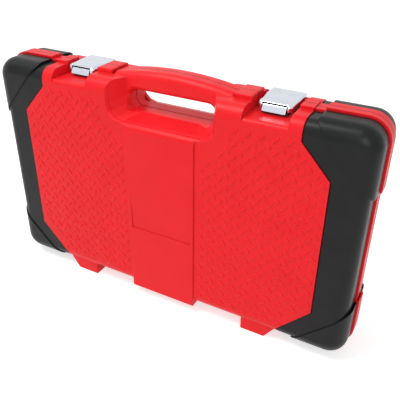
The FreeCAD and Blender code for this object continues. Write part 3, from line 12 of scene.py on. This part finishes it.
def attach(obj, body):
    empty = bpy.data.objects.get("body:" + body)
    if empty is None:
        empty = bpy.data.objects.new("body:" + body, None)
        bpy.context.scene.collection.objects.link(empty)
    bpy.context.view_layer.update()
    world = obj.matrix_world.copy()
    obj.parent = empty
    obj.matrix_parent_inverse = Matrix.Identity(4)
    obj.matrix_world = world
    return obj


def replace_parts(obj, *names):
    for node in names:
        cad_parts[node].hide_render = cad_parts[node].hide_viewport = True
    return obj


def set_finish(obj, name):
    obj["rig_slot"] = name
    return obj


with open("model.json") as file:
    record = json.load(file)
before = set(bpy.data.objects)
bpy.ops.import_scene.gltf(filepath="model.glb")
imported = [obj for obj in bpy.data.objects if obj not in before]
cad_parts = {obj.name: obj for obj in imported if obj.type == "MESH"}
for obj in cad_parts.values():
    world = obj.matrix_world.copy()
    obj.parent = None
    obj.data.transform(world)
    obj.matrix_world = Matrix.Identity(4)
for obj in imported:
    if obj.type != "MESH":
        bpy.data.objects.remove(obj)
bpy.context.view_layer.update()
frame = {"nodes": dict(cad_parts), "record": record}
nodes = frame["nodes"]

MM = 0.001

# Places on the shells that the new pieces sit on.
LID_FACE = -41.0 * MM
BASE_FACE = 36.0 * MM
PANEL_OUTLINE = np.array([[45, 20], [148, 20], [152.5, 22], [189, 61.1], [189, 222], [157, 256.6], [152, 262],
                          [45, 262]]) * MM

# Tread plate: two sets of bars on one lattice, crossed.
TREAD_PITCH = (14.5 * MM, 14.35 * MM)
TREAD_RISING = (74.1 * MM, 195.3 * MM)
TREAD_FALLING = (81.35 * MM, 202.5 * MM)
TREAD_LENGTH = 10.0 * MM
TREAD_WIDTH = 3.2 * MM
TREAD_HEIGHT = 1.0 * MM
TREAD_SUNK = 0.3 * MM
TREAD_FULLNESS = 0.85
TREAD_MARGIN = 4.6 * MM
# The scoop under the handle, which the tread bars keep clear of.
SCOOP_CLEAR = np.array([[0, 206], [46, 206], [56, 214], [70, 227], [74, 231], [74, 300], [0, 300]]) * MM

# Latch levers: plan, height and pivot.
LEVER_MIDDLE = 119.0 * MM
LEVER_HALF = 18.95 * MM
LEVER_FRONT = -17.0 * MM
LEVER_REAR = 28.0 * MM
LEVER_TOP = 280.0 * MM
FRONT_CORNER = 6.2 * MM
REAR_CORNER = 2.8 * MM
CORNER_STEPS = 8
PIVOT_DEPTH = 21.0 * MM
PIVOT_HEIGHT = 274.5 * MM
EAR_RADIUS = 3.5 * MM
# Their sheet: its bend and the depth of its flange, from front to rear, and where the bend stops short.
SHEET = 1.0 * MM
SHEET_EDGE = 0.25 * MM
BEND_FROM_TO = ([-4 * MM, 10 * MM], [4.2 * MM, 1.6 * MM])
FLANGE_FROM_TO = ([-12 * MM, 0], [7.2 * MM, 5.6 * MM])
FLANGE_STUB = 0.15 * MM
BEND_AT_LIP = math.radians(42)
BEND_AT_REAR = math.radians(25)
# Their finger lip: a flat run under the plate, an arc about a centre in Y and Z, and a flared run.
LIP_HALF = 12.4 * MM
LIP_GAP = 0.8 * MM
LIP_FLAT = np.array([[-8.0, 277.5], [-11.0, 277.5]]) * MM
LIP_CENTRE = np.array([-13.4, 274.5]) * MM
LIP_RADIUS = 3.0 * MM
LIP_TURN = math.radians(60)
LIP_FLARE = np.array([2.5, 4.6, 5.4, 6.0, 6.3]) * MM
LIP_CORNER = 1.6 * MM


def grid_faces(rows, columns, closed=True):
    """Quads of a grid, closed along its columns or open: row i and column j meet row i+1 and column j+1."""
    i, j = np.meshgrid(np.arange(rows - 1), np.arange(columns if closed else columns - 1), indexing="ij")
    k = (j + 1) % columns
    quads = np.stack([i * columns + j, i * columns + k, (i + 1) * columns + k, (i + 1) * columns + j], -1)
    return quads.reshape(-1, 4)


def piece(name, points, faces, body, slot):
    """A new piece from its points and faces, riding on a body and taking its finish from a slot."""
    mesh = bpy.data.meshes.new(name)
    mesh.from_pydata(points.reshape(-1, 3).tolist(), [], faces)
    mesh.polygons.foreach_set("use_smooth", np.full(len(mesh.polygons), True))
    mesh.update()
    made = bpy.data.objects.new(name, mesh)
    bpy.context.scene.collection.objects.link(made)
    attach(made, body)
    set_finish(made, slot)
    return made


def edge_room(points, outline):
    """How far each point lies inside a convex outline that runs anticlockwise, less than 0 outside."""
    start = outline
    along = np.roll(outline, -1, axis=0) - start
    along = along / np.linalg.norm(along, axis=1, keepdims=True)
    offset = points[:, None, :] - start[None]
    return (along[None, :, 0] * offset[..., 1] - along[None, :, 1] * offset[..., 0]).min(axis=1)


def lattice(origin):
    """Points of the tread's lattice through an origin, kept inside the panel and off the scoop's lip."""
    k, m = np.meshgrid(np.arange(-14, 15), np.arange(-18, 10), indexing="ij")
    points = np.stack([origin[0] + k * TREAD_PITCH[0], origin[1] + m * TREAD_PITCH[1]], -1).reshape(-1, 2)
    inside = edge_room(points, PANEL_OUTLINE) > TREAD_MARGIN
    clear = edge_room(points, SCOOP_CLEAR) < -TREAD_MARGIN
    return points[inside & clear]


def tread_bars(name, face, outward, mirror, body):
    """Raised bars of one tread panel. A bar's point at angle u and ring v is a superellipse of the bar's
    half length and half width, drawn in by the ring's share, at the ring's height, turned by 45 degrees one
    way or the other, and moved to its place on the lattice. The crown is a pole and the foot is one face."""
    rising, falling = lattice(TREAD_RISING), lattice(TREAD_FALLING)
    centres = np.concatenate([rising, falling])
    turns = np.concatenate([np.full(len(rising), 1.0), np.full(len(falling), -1.0)]) * math.pi / 4
    around = 12
    u = np.arange(around) * 2 * math.pi / around
    share = np.array([1.0, 1.0, 0.78, 0.42])
    height = np.array([-TREAD_SUNK, 0.12 * TREAD_HEIGHT, 0.68 * TREAD_HEIGHT, 0.95 * TREAD_HEIGHT])
    along = TREAD_LENGTH / 2 * np.sign(np.cos(u)) * np.abs(np.cos(u)) ** TREAD_FULLNESS
    across = TREAD_WIDTH / 2 * np.sign(np.sin(u)) * np.abs(np.sin(u)) ** TREAD_FULLNESS
    along = along[None, :] * (0.25 + 0.75 * share[:, None])
    across = across[None, :] * share[:, None]
    x = along[None] * np.cos(turns)[:, None, None] - across[None] * np.sin(turns)[:, None, None]
    z = along[None] * np.sin(turns)[:, None, None] + across[None] * np.cos(turns)[:, None, None]
    x = (x + centres[:, 0, None, None]) * mirror
    z = z + centres[:, 1, None, None]
    y = np.broadcast_to(face + outward * height[None, :, None], x.shape)
    rings = np.stack([x, y, z], -1).reshape(len(centres), -1, 3)
    crown = np.stack([centres[:, 0] * mirror, np.full(len(centres), face + outward * TREAD_HEIGHT),
                      centres[:, 1]], -1)[:, None, :]
    points = np.concatenate([rings, crown], axis=1)
    per_bar = points.shape[1]
    last = (len(share) - 1) * around
    j = np.arange(around)
    quads = grid_faces(len(share), around)
    fans = np.stack([last + j, last + (j + 1) % around, np.full(around, per_bar - 1)], -1)
    foot = j[::-1]
    if outward * mirror > 0:
        quads, fans, foot = quads[:, ::-1], fans[:, ::-1], foot[::-1]
    step = (np.arange(len(centres)) * per_bar)[:, None, None]
    faces = ((quads[None] + step).reshape(-1, 4).tolist() + (fans[None] + step).reshape(-1, 3).tolist()
             + (foot[None] + step[:, :, 0]).tolist())
    return piece(name, points, faces, body, "red_shell")


def lever_outline():
    """Points, outward directions and reaches of the lever's outline from above, clockwise from the rear right:
    a straight run keeps its direction, and a corner turns it about the corner's centre."""
    half, front, rear = LEVER_HALF, LEVER_FRONT, LEVER_REAR
    wide, tight = FRONT_CORNER, REAR_CORNER
    runs = [((half, rear - tight), (half, front + wide), 0, 44),
            ((half - wide, front), (wide - half, front), -90, 60),
            ((-half, front + wide), (-half, rear - tight), 180, 44),
            ((tight - half, rear), (half - tight, rear), 90, 20)]
    corners = [((half - wide, front + wide), wide, 0), ((wide - half, front + wide), wide, -90),
               ((tight - half, rear - tight), tight, 180), ((half - tight, rear - tight), tight, 90)]
    places, angles, reaches = [], [], []
    for (start, end, heading, count), (centre, radius, turned) in zip(runs, corners):
        along = np.arange(count)[:, None] / count
        places += [np.array(start) + along * (np.array(end) - np.array(start)), np.tile(centre, (CORNER_STEPS, 1))]
        angles += [np.full(count, float(heading)), turned - 90 * np.arange(CORNER_STEPS) / CORNER_STEPS]
        reaches += [np.zeros(count), np.full(CORNER_STEPS, radius)]
    angle = np.radians(np.concatenate(angles))
    return np.concatenate(places), np.stack([np.cos(angle), np.sin(angle)], -1), np.concatenate(reaches)


def lever_plate():
    """Plate of a latch lever. Ring v is the outline drawn in by the ring's share: flat on top, then over a quarter
    circle and down a flange, which reaches round the pivot and is cut back at the rear and above the lip."""
    place, outward, reach = lever_outline()
    rim = place + reach[:, None] * outward
    at_lip = (outward[:, 1] < -0.99) & (np.abs(rim[:, 0]) < LIP_HALF + LIP_GAP)
    at_rear = outward[:, 1] > 0.25
    bend = np.interp(rim[:, 1], *BEND_FROM_TO)
    most = np.where(at_lip, BEND_AT_LIP, np.where(at_rear, BEND_AT_REAR, math.pi / 2))
    turn = np.linspace(0, 1, 7)[:, None] * most
    level = np.zeros((1, len(rim)))
    inset = np.concatenate([level + bend + SHEET, bend * (1 - np.sin(turn))])
    fall = np.concatenate([level, bend * (1 - np.cos(turn))])
    ear = np.sqrt(np.clip(EAR_RADIUS ** 2 - (rim[:, 1] - PIVOT_DEPTH) ** 2, 0, None))
    side = np.maximum(LEVER_TOP - PIVOT_HEIGHT + ear, np.interp(rim[:, 1], *FLANGE_FROM_TO))
    deep = np.where(at_lip | at_rear, fall[-1] + FLANGE_STUB, side)
    inset = np.concatenate([inset, np.tile(inset[-1], (3, 1))])
    fall = np.concatenate([fall, fall[-1] + np.array([[1 / 3], [2 / 3], [1]]) * (deep - fall[-1])])
    flat = place + (reach - inset)[..., None] * outward
    return np.concatenate([flat, (LEVER_TOP - fall)[..., None]], -1)


def lever_lip():
    """Finger lip of a latch lever: a profile of a flat run, an arc and a flared run, carried along X and
    narrowed at its lower corners by a quarter circle."""
    bow = np.linspace(0, LIP_TURN, 7)[:, None]
    arc = LIP_CENTRE + LIP_RADIUS * np.concatenate([-np.sin(bow), np.cos(bow)], -1)
    flared = arc[-1] + LIP_FLARE[:, None] * np.array([-math.cos(LIP_TURN), -math.sin(LIP_TURN)])
    path = np.concatenate([LIP_FLAT, arc, flared])
    past = np.array([0.0] * (len(path) - 3) + [0.35, 0.7, 1.0])
    width = LIP_HALF - LIP_CORNER * (1 - np.sqrt(1 - past ** 2))
    x = width[:, None] * np.linspace(-1, 1, 15)
    y, z = (np.broadcast_to(path[:, axis, None], x.shape) for axis in (0, 1))
    return np.stack([x, y, z], -1)


def pressed_lever(name, middle, body):
    """Latch lever of thin sheet in place of the solid one: the plate's rings and the lip's grid at a middle in X,
    given their thickness inwards and an eased edge."""
    plate, lip = lever_plate(), lever_lip()
    rows, columns = plate.shape[:2]
    points = np.concatenate([plate.reshape(-1, 3), lip.reshape(-1, 3)]) + np.array([middle, 0, 0])
    lip_faces = grid_faces(*lip.shape[:2], closed=False)[:, ::-1] + rows * columns
    faces = grid_faces(rows, columns).tolist() + [np.arange(columns)[::-1].tolist()] + lip_faces.tolist()
    made = piece(name, points, faces, body, "latch_plate")
    sheet = made.modifiers.new("sheet", "SOLIDIFY")
    sheet.thickness = SHEET
    sheet.offset = -1
    eased = made.modifiers.new("eased", "BEVEL")
    eased.width = SHEET_EDGE
    eased.segments = 2
    eased.limit_method = "ANGLE"
    eased.angle_limit = math.radians(40)
    eased.harden_normals = True
    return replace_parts(made, body)


class Finish:
    """A material's node tree with short calls: put() adds a node, and links whatever sockets it is given."""

    def __init__(self, name):
        self.material = bpy.data.materials.new(name)
        self.material.use_nodes = True
        self.tree = self.material.node_tree
        self.shader = self.tree.nodes["Principled BSDF"]
        self.place = self.put("ShaderNodeTexCoord").outputs["Object"]

    def put(self, kind, settings=(), **inputs):
        node = self.tree.nodes.new(kind)
        for key, value in dict(settings).items():
            setattr(node, key, value)
        for key, value in inputs.items():
            self.set(node.inputs[int(key[1:]) if key[1:].isdigit() else key.replace("_", " ")], value)
        return node

    def set(self, socket, value):
        if isinstance(value, bpy.types.NodeSocket):
            self.tree.links.new(value, socket)
        else:
            socket.default_value = value

    def noise(self, scale, detail=2.0, stretch=(1, 1, 1)):
        """Noise of a given scale in features per metre, drawn out along an axis by its stretch."""
        place = self.place
        if stretch != (1, 1, 1):
            place = self.put("ShaderNodeMapping", Vector=self.place, Scale=stretch).outputs[0]
        return self.put("ShaderNodeTexNoise", Vector=place, Scale=scale, Detail=detail).outputs["Fac"]

    def cells(self, scale):
        return self.put("ShaderNodeTexVoronoi", Vector=self.place, Scale=scale).outputs[0]

    def spread(self, value, low, high, start=0.3, end=0.7):
        """A value between start and end laid over the range from low to high."""
        made = self.put("ShaderNodeMapRange", Value=value)
        made.inputs["From Min"].default_value, made.inputs["From Max"].default_value = start, end
        made.inputs["To Min"].default_value, made.inputs["To Max"].default_value = low, high
        return made.outputs[0]

    def mix(self, factor, first, second):
        made = self.put("ShaderNodeMix", {"data_type": "RGBA"}, i0=factor)
        self.set(made.inputs[6], first)
        self.set(made.inputs[7], second)
        return made.outputs[2]

    def add(self, first, second, operation="ADD"):
        return self.put("ShaderNodeMath", {"operation": operation}, i0=first, i1=second).outputs[0]

    def edges(self, radius):
        """How far the rounded normal leans from the true one: 0 on flat places, towards 1 along edges."""
        rounded = self.put("ShaderNodeBevel", {"samples": 6}, Radius=radius).outputs[0]
        true = self.put("ShaderNodeNewGeometry").outputs["Normal"]
        dot = self.put("ShaderNodeVectorMath", {"operation": "DOT_PRODUCT"}, i0=rounded, i1=true)
        return rounded, self.spread(dot.outputs["Value"], 1.0, 0.0, 0.72, 0.99)

    def crevices(self, reach, low=0.35, high=0.85):
        """Where walls close in on the surface, the mask for painted shade: 1 in deep grooves and corners, 0 in the
        open.
        """
        open_share = self.put("ShaderNodeAmbientOcclusion", {"samples": 6}, Distance=reach).outputs["AO"]
        return self.spread(open_share, 1.0, 0.0, low, high)

    def seam(self, half):
        """The line where the shells part, the mask for a painted shade line: 1 near the parting plane, on faces
        that cross it.
        """
        split = self.put("ShaderNodeSeparateXYZ", Vector=self.place).outputs["Y"]
        facing = self.put("ShaderNodeTexCoord").outputs["Normal"]
        lean = self.put("ShaderNodeSeparateXYZ", Vector=facing).outputs["Y"]
        near = self.spread(self.add(split, 0.0, "ABSOLUTE"), 1.0, 0.0, half, 1.6 * half)
        across = self.spread(self.add(lean, 0.0, "ABSOLUTE"), 1.0, 0.0, 0.4, 0.7)
        return self.add(near, across, "MULTIPLY")

    def bump(self, height, strength, distance, normal=None):
        made = self.put("ShaderNodeBump", Height=height, Strength=strength, Distance=distance)
        if normal is not None:
            self.set(made.inputs["Normal"], normal)
        return made.outputs[0]

    def shade(self, **inputs):
        for key, value in inputs.items():
            self.set(self.shader.inputs[key.replace("_", " ")], value)
        return self.material


def colour(red, green, blue):
    return (red, green, blue, 1.0)


def moulded_red():
    """Satin red plastic: cloudy colour, fine moulded grain, paler rubbed edges, and painted shade in the grooves
    and corners and along the parting line.
    """
    f = Finish("moulded_red")
    rounded, edge = f.edges(0.9 * MM)
    cloud = f.noise(28, 3)
    body = f.mix(f.spread(cloud, 0, 1), colour(0.80, 0.0105, 0.0165), colour(0.85, 0.0135, 0.0205))
    body = f.mix(f.spread(f.noise(420, 3), 0, 0.35, 0.45, 0.75), body, colour(0.76, 0.009, 0.014))
    wear = f.add(edge, f.spread(f.noise(90, 4), 0.1, 0.5), "MULTIPLY")
    body = f.mix(wear, body, colour(0.90, 0.032, 0.040))
    # painted shade: the red is darkened in grooves and corners, and in a thin line along the parting plane where
    # the gap between the shells is in shade
    painted_shade = f.add(f.crevices(4.0 * MM, 0.2, 0.65), f.seam(0.45 * MM), "MAXIMUM")
    body = f.mix(painted_shade, body, colour(0.20, 0.002, 0.005))
    grain = f.add(f.noise(2600, 2), f.add(f.noise(700, 2), 0.5, "MULTIPLY"))
    return f.shade(Base_Color=body, Roughness=f.spread(f.noise(55, 4), 0.33, 0.42), Specular_IOR_Level=0.2,
                   Normal=f.bump(grain, 0.16, 0.12 * MM, rounded))


def satin_black():
    """Black cap plastic: a shade cloudier and shinier than the shells, with rubbed edges."""
    f = Finish("satin_black")
    rounded, edge = f.edges(1.0 * MM)
    cloud = f.spread(f.noise(35, 3), 0, 1)
    body = f.mix(cloud, colour(0.0045, 0.0050, 0.0054), colour(0.0080, 0.0085, 0.0090))
    wear = f.add(edge, f.spread(f.noise(120, 4), 0.05, 0.5), "MULTIPLY")
    body = f.mix(wear, body, colour(0.045, 0.045, 0.047))
    grain = f.add(f.noise(2300, 2), f.add(f.noise(600, 2), 0.5, "MULTIPLY"))
    return f.shade(Base_Color=body, Roughness=f.spread(f.noise(60, 4), 0.32, 0.40), Specular_IOR_Level=0.2,
                   Normal=f.bump(grain, 0.15, 0.12 * MM, rounded))


def bright_latch():
    """Bright plated sheet: faint rolling lines along the plate, a few dull smudges, and painted shade in the folds
    and in the gap under the plate.
    """
    f = Finish("bright_latch")
    rounded, edge = f.edges(0.5 * MM)
    smudge = f.noise(70, 4)
    lines = f.noise(900, 2, (0.03, 1, 1))
    body = f.mix(f.spread(smudge, 0, 1), colour(0.70, 0.73, 0.80), colour(0.62, 0.66, 0.74))
    body = f.mix(f.add(edge, 0.5, "MULTIPLY"), body, colour(0.88, 0.89, 0.91))
    # painted shade: the plate is darkened in its folds and in the gap between plate and lip
    body = f.mix(f.crevices(2.5 * MM, 0.45, 0.9), body, colour(0.05, 0.05, 0.055))
    rough = f.add(f.spread(smudge, 0.10, 0.20), f.spread(lines, 0.0, 0.05))
    return f.shade(Base_Color=body, Metallic=1.0, Roughness=rough,
                   Normal=f.bump(lines, 0.05, 0.05 * MM, rounded))


def zinc_steel():
    """Plain zinc plated steel: spangled, dull, darker in patches."""
    f = Finish("zinc_steel")
    rounded, edge = f.edges(0.4 * MM)
    spangle = f.cells(420)
    body = f.mix(spangle, colour(0.52, 0.53, 0.54), colour(0.63, 0.64, 0.66))
    body = f.mix(f.spread(f.noise(160, 3), 0, 0.5), body, colour(0.40, 0.40, 0.40))
    body = f.mix(f.add(edge, 0.5, "MULTIPLY"), body, colour(0.72, 0.72, 0.72))
    return f.shade(Base_Color=body, Metallic=1.0, Roughness=f.spread(f.noise(240, 3), 0.30, 0.45),
                   Normal=f.bump(f.noise(1500, 2), 0.1, 0.05 * MM, rounded))


def phosphate_dark_as_shade():
    """Phosphated sheet steel, dark as real phosphate and also as painted shade, so that the catch under the
    lever's lip reads as the shadow there: a dark grey bloom over metal, brighter where it is rubbed.
    """
    f = Finish("phosphate_dark_as_shade")
    rounded, edge = f.edges(0.4 * MM)
    bloom = f.noise(260, 4)
    # dark phosphate colour, partly painted shade: kept dark so that the catch under the lip stands in for the
    # shadow there
    body = f.mix(f.spread(bloom, 0, 1), colour(0.035, 0.035, 0.037), colour(0.060, 0.060, 0.062))
    body = f.mix(f.add(edge, 0.4, "MULTIPLY"), body, colour(0.30, 0.30, 0.30))
    return f.shade(Base_Color=body, Metallic=0.6, Roughness=f.spread(bloom, 0.42, 0.58),
                   Normal=f.bump(f.noise(1700, 2), 0.15, 0.06 * MM, rounded))


def cut_foam():
    """Matt black foam: small closed cells that show as pits, and dusty patches."""
    f = Finish("cut_foam")
    pits = f.cells(900)
    body = f.mix(f.spread(pits, 0, 1, 0.1, 0.6), colour(0.014, 0.0145, 0.016), colour(0.034, 0.035, 0.037))
    body = f.mix(f.spread(f.noise(45, 4), 0, 0.5, 0.5, 0.8), body, colour(0.05, 0.05, 0.05))
    return f.shade(Base_Color=body, Roughness=f.spread(f.noise(300, 2), 0.85, 0.98),
                   Normal=f.bump(pits, 0.5, 0.4 * MM))


def ribbed_grip():
    """Matt black grip plastic with a coarse moulded grain."""
    f = Finish("ribbed_grip")
    rounded, edge = f.edges(0.8 * MM)
    body = f.mix(f.spread(f.noise(80, 3), 0, 1), colour(0.015, 0.015, 0.016), colour(0.024, 0.024, 0.025))
    body = f.mix(f.add(edge, 0.5, "MULTIPLY"), body, colour(0.06, 0.06, 0.06))
    return f.shade(Base_Color=body, Roughness=f.spread(f.noise(130, 3), 0.5, 0.62),
                   Normal=f.bump(f.noise(1600, 3), 0.35, 0.2 * MM, rounded))


def satin_chrome():
    """Satin chrome of the tools: fine turning lines, smears, and brighter edges."""
    f = Finish("satin_chrome")
    rounded, edge = f.edges(0.5 * MM)
    smear = f.noise(110, 4)
    lines = f.noise(1400, 2, (1, 0.04, 1))
    body = f.mix(f.spread(smear, 0, 1), colour(0.56, 0.57, 0.59), colour(0.47, 0.48, 0.50))
    body = f.mix(f.add(edge, 0.5, "MULTIPLY"), body, colour(0.78, 0.78, 0.79))
    rough = f.add(f.spread(smear, 0.16, 0.28), f.spread(lines, 0, 0.06))
    return f.shade(Base_Color=body, Metallic=1.0, Roughness=rough,
                   Normal=f.bump(lines, 0.08, 0.05 * MM, rounded))


def hard_steel():
    """Darker hardened steel with a film of oil."""
    f = Finish("hard_steel")
    rounded, edge = f.edges(0.3 * MM)
    film = f.noise(200, 4)
    body = f.mix(f.spread(film, 0, 1), colour(0.36, 0.36, 0.37), colour(0.45, 0.44, 0.43))
    body = f.mix(f.add(edge, 0.6, "MULTIPLY"), body, colour(0.62, 0.62, 0.62))
    return f.shade(Base_Color=body, Metallic=1.0, Roughness=f.spread(film, 0.22, 0.38),
                   Normal=f.bump(f.noise(1800, 2), 0.1, 0.05 * MM, rounded))


finishes = {
    "red_shell": moulded_red(),
    "black_cap": satin_black(),
    "latch_plate": bright_latch(),
    "plain_steel": zinc_steel(),
    "dark_steel": phosphate_dark_as_shade(),
    "black_foam": cut_foam(),
    "grip_plastic": ribbed_grip(),
    "tool_chrome": satin_chrome(),
    "tool_steel": hard_steel(),
}

pieces = [
    tread_bars("lid_tread_right", LID_FACE, -1, 1, "lid"),
    tread_bars("lid_tread_left", LID_FACE, -1, -1, "lid"),
    tread_bars("base_tread_right", BASE_FACE, 1, 1, "base"),
    tread_bars("base_tread_left", BASE_FACE, 1, -1, "base"),
    pressed_lever("pressed_lever_right", LEVER_MIDDLE, "latch_lever_right"),
    pressed_lever("pressed_lever_left", -LEVER_MIDDLE, "latch_lever_left"),
]
for made in pieces:
    made.data.materials.append(finishes[made["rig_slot"]])

for part in frame["record"]["subparts"]:
    node = nodes[part["node"]]
    node.data.materials.clear()
    node.data.materials.append(finishes[part["material_slot"]])


def seen_or_mirrored(tree):
    """1 on rays from the camera, and on those that come by a reflection or through glass; 0 on the rest."""
    path = tree.nodes.new("ShaderNodeLightPath")
    total = path.outputs["Is Camera Ray"]
    for name in ("Is Glossy Ray", "Is Transmission Ray"):
        either = tree.nodes.new("ShaderNodeMath")
        either.operation = "MAXIMUM"
        tree.links.new(total, either.inputs[0])
        tree.links.new(path.outputs[name], either.inputs[1])
        total = either.outputs[0]
    return total


def studio_floor():
    """A wide pale floor whose own colour is lifted to white for the camera, so that the shadow stays."""
    half = 20.0
    mesh = bpy.data.meshes.new("floor")
    corners = [(-half, -half, 0), (half, -half, 0), (half, half, 0), (-half, half, 0)]
    mesh.from_pydata(corners, [], [(0, 1, 2, 3)])
    floor = bpy.data.objects.new("floor", mesh)
    bpy.context.scene.collection.objects.link(floor)
    paint = bpy.data.materials.new("pale_floor")
    paint.use_nodes = True
    tree = paint.node_tree
    shader = tree.nodes["Principled BSDF"]
    shader.inputs["Base Color"].default_value = colour(0.82, 0.82, 0.82)
    shader.inputs["Roughness"].default_value = 0.9
    shader.inputs["Specular IOR Level"].default_value = 0.0
    shader.inputs["Emission Color"].default_value = colour(1, 1, 1)
    lift = tree.nodes.new("ShaderNodeMath")
    lift.operation = "MULTIPLY"
    lift.inputs[1].default_value = 0.55
    tree.links.new(seen_or_mirrored(tree), lift.inputs[0])
    tree.links.new(lift.outputs[0], shader.inputs["Emission Strength"])
    floor.data.materials.append(paint)


def studio_sky(level):
    """Plain grey light from all round, which shows as white where it is seen or mirrored."""
    world = bpy.data.worlds.new("studio")
    bpy.context.scene.world = world
    world.use_nodes = True
    tree = world.node_tree
    sky = tree.nodes["Background"]
    strength = tree.nodes.new("ShaderNodeMapRange")
    strength.inputs["To Min"].default_value = level
    strength.inputs["To Max"].default_value = 1.0
    tree.links.new(seen_or_mirrored(tree), strength.inputs["Value"])
    sky.inputs["Color"].default_value = colour(1, 1, 1)
    tree.links.new(strength.outputs[0], sky.inputs["Strength"])


def soft_lamp(name, place, target, size, power):
    """A square soft box that looks at a target."""
    light = bpy.data.lights.new(name, "AREA")
    light.shape = "SQUARE"
    light.size = size
    light.energy = power
    lamp = bpy.data.objects.new(name, light)
    lamp.location = place
    lamp.rotation_euler = (Vector(target) - Vector(place)).to_track_quat("-Z", "Y").to_euler()
    bpy.context.scene.collection.objects.link(lamp)


def photo_camera():
    """The photograph's view: fitted angles, distance and lens for a square frame."""
    azimuth, elevation, roll = map(math.radians, (28.1, 30.5, 0.7))
    target, distance = Vector((0.0297, 0.0, 0.1365)), 0.6481
    back = Vector((math.sin(azimuth) * math.cos(elevation), -math.cos(azimuth) * math.cos(elevation),
                   math.sin(elevation)))
    right = Vector((math.cos(azimuth), math.sin(azimuth), 0))
    up = back.cross(right)
    side = right * math.cos(roll) + up * math.sin(roll)
    top = up * math.cos(roll) - right * math.sin(roll)
    lens = bpy.data.cameras.new("photo_camera")
    lens.sensor_width = 36.0
    lens.lens = 48.99
    lens.clip_start = 0.01
    camera = bpy.data.objects.new("photo_camera", lens)
    place = target + back * distance
    camera.matrix_world = Matrix(((side.x, top.x, back.x, place.x), (side.y, top.y, back.y, place.y),
                                  (side.z, top.z, back.z, place.z), (0, 0, 0, 1)))
    bpy.context.scene.collection.objects.link(camera)
    bpy.context.scene.camera = camera


bpy.context.scene.view_settings.view_transform = "Standard"
studio_floor()
studio_sky(0.5)
soft_lamp("key_lamp", (0.7, -1.6, 1.1), (0, 0, 0.15), 0.9, 10.5)
soft_lamp("top_lamp", (-0.6, -0.5, 1.8), (0, 0, 0.15), 0.8, 17)
photo_camera()
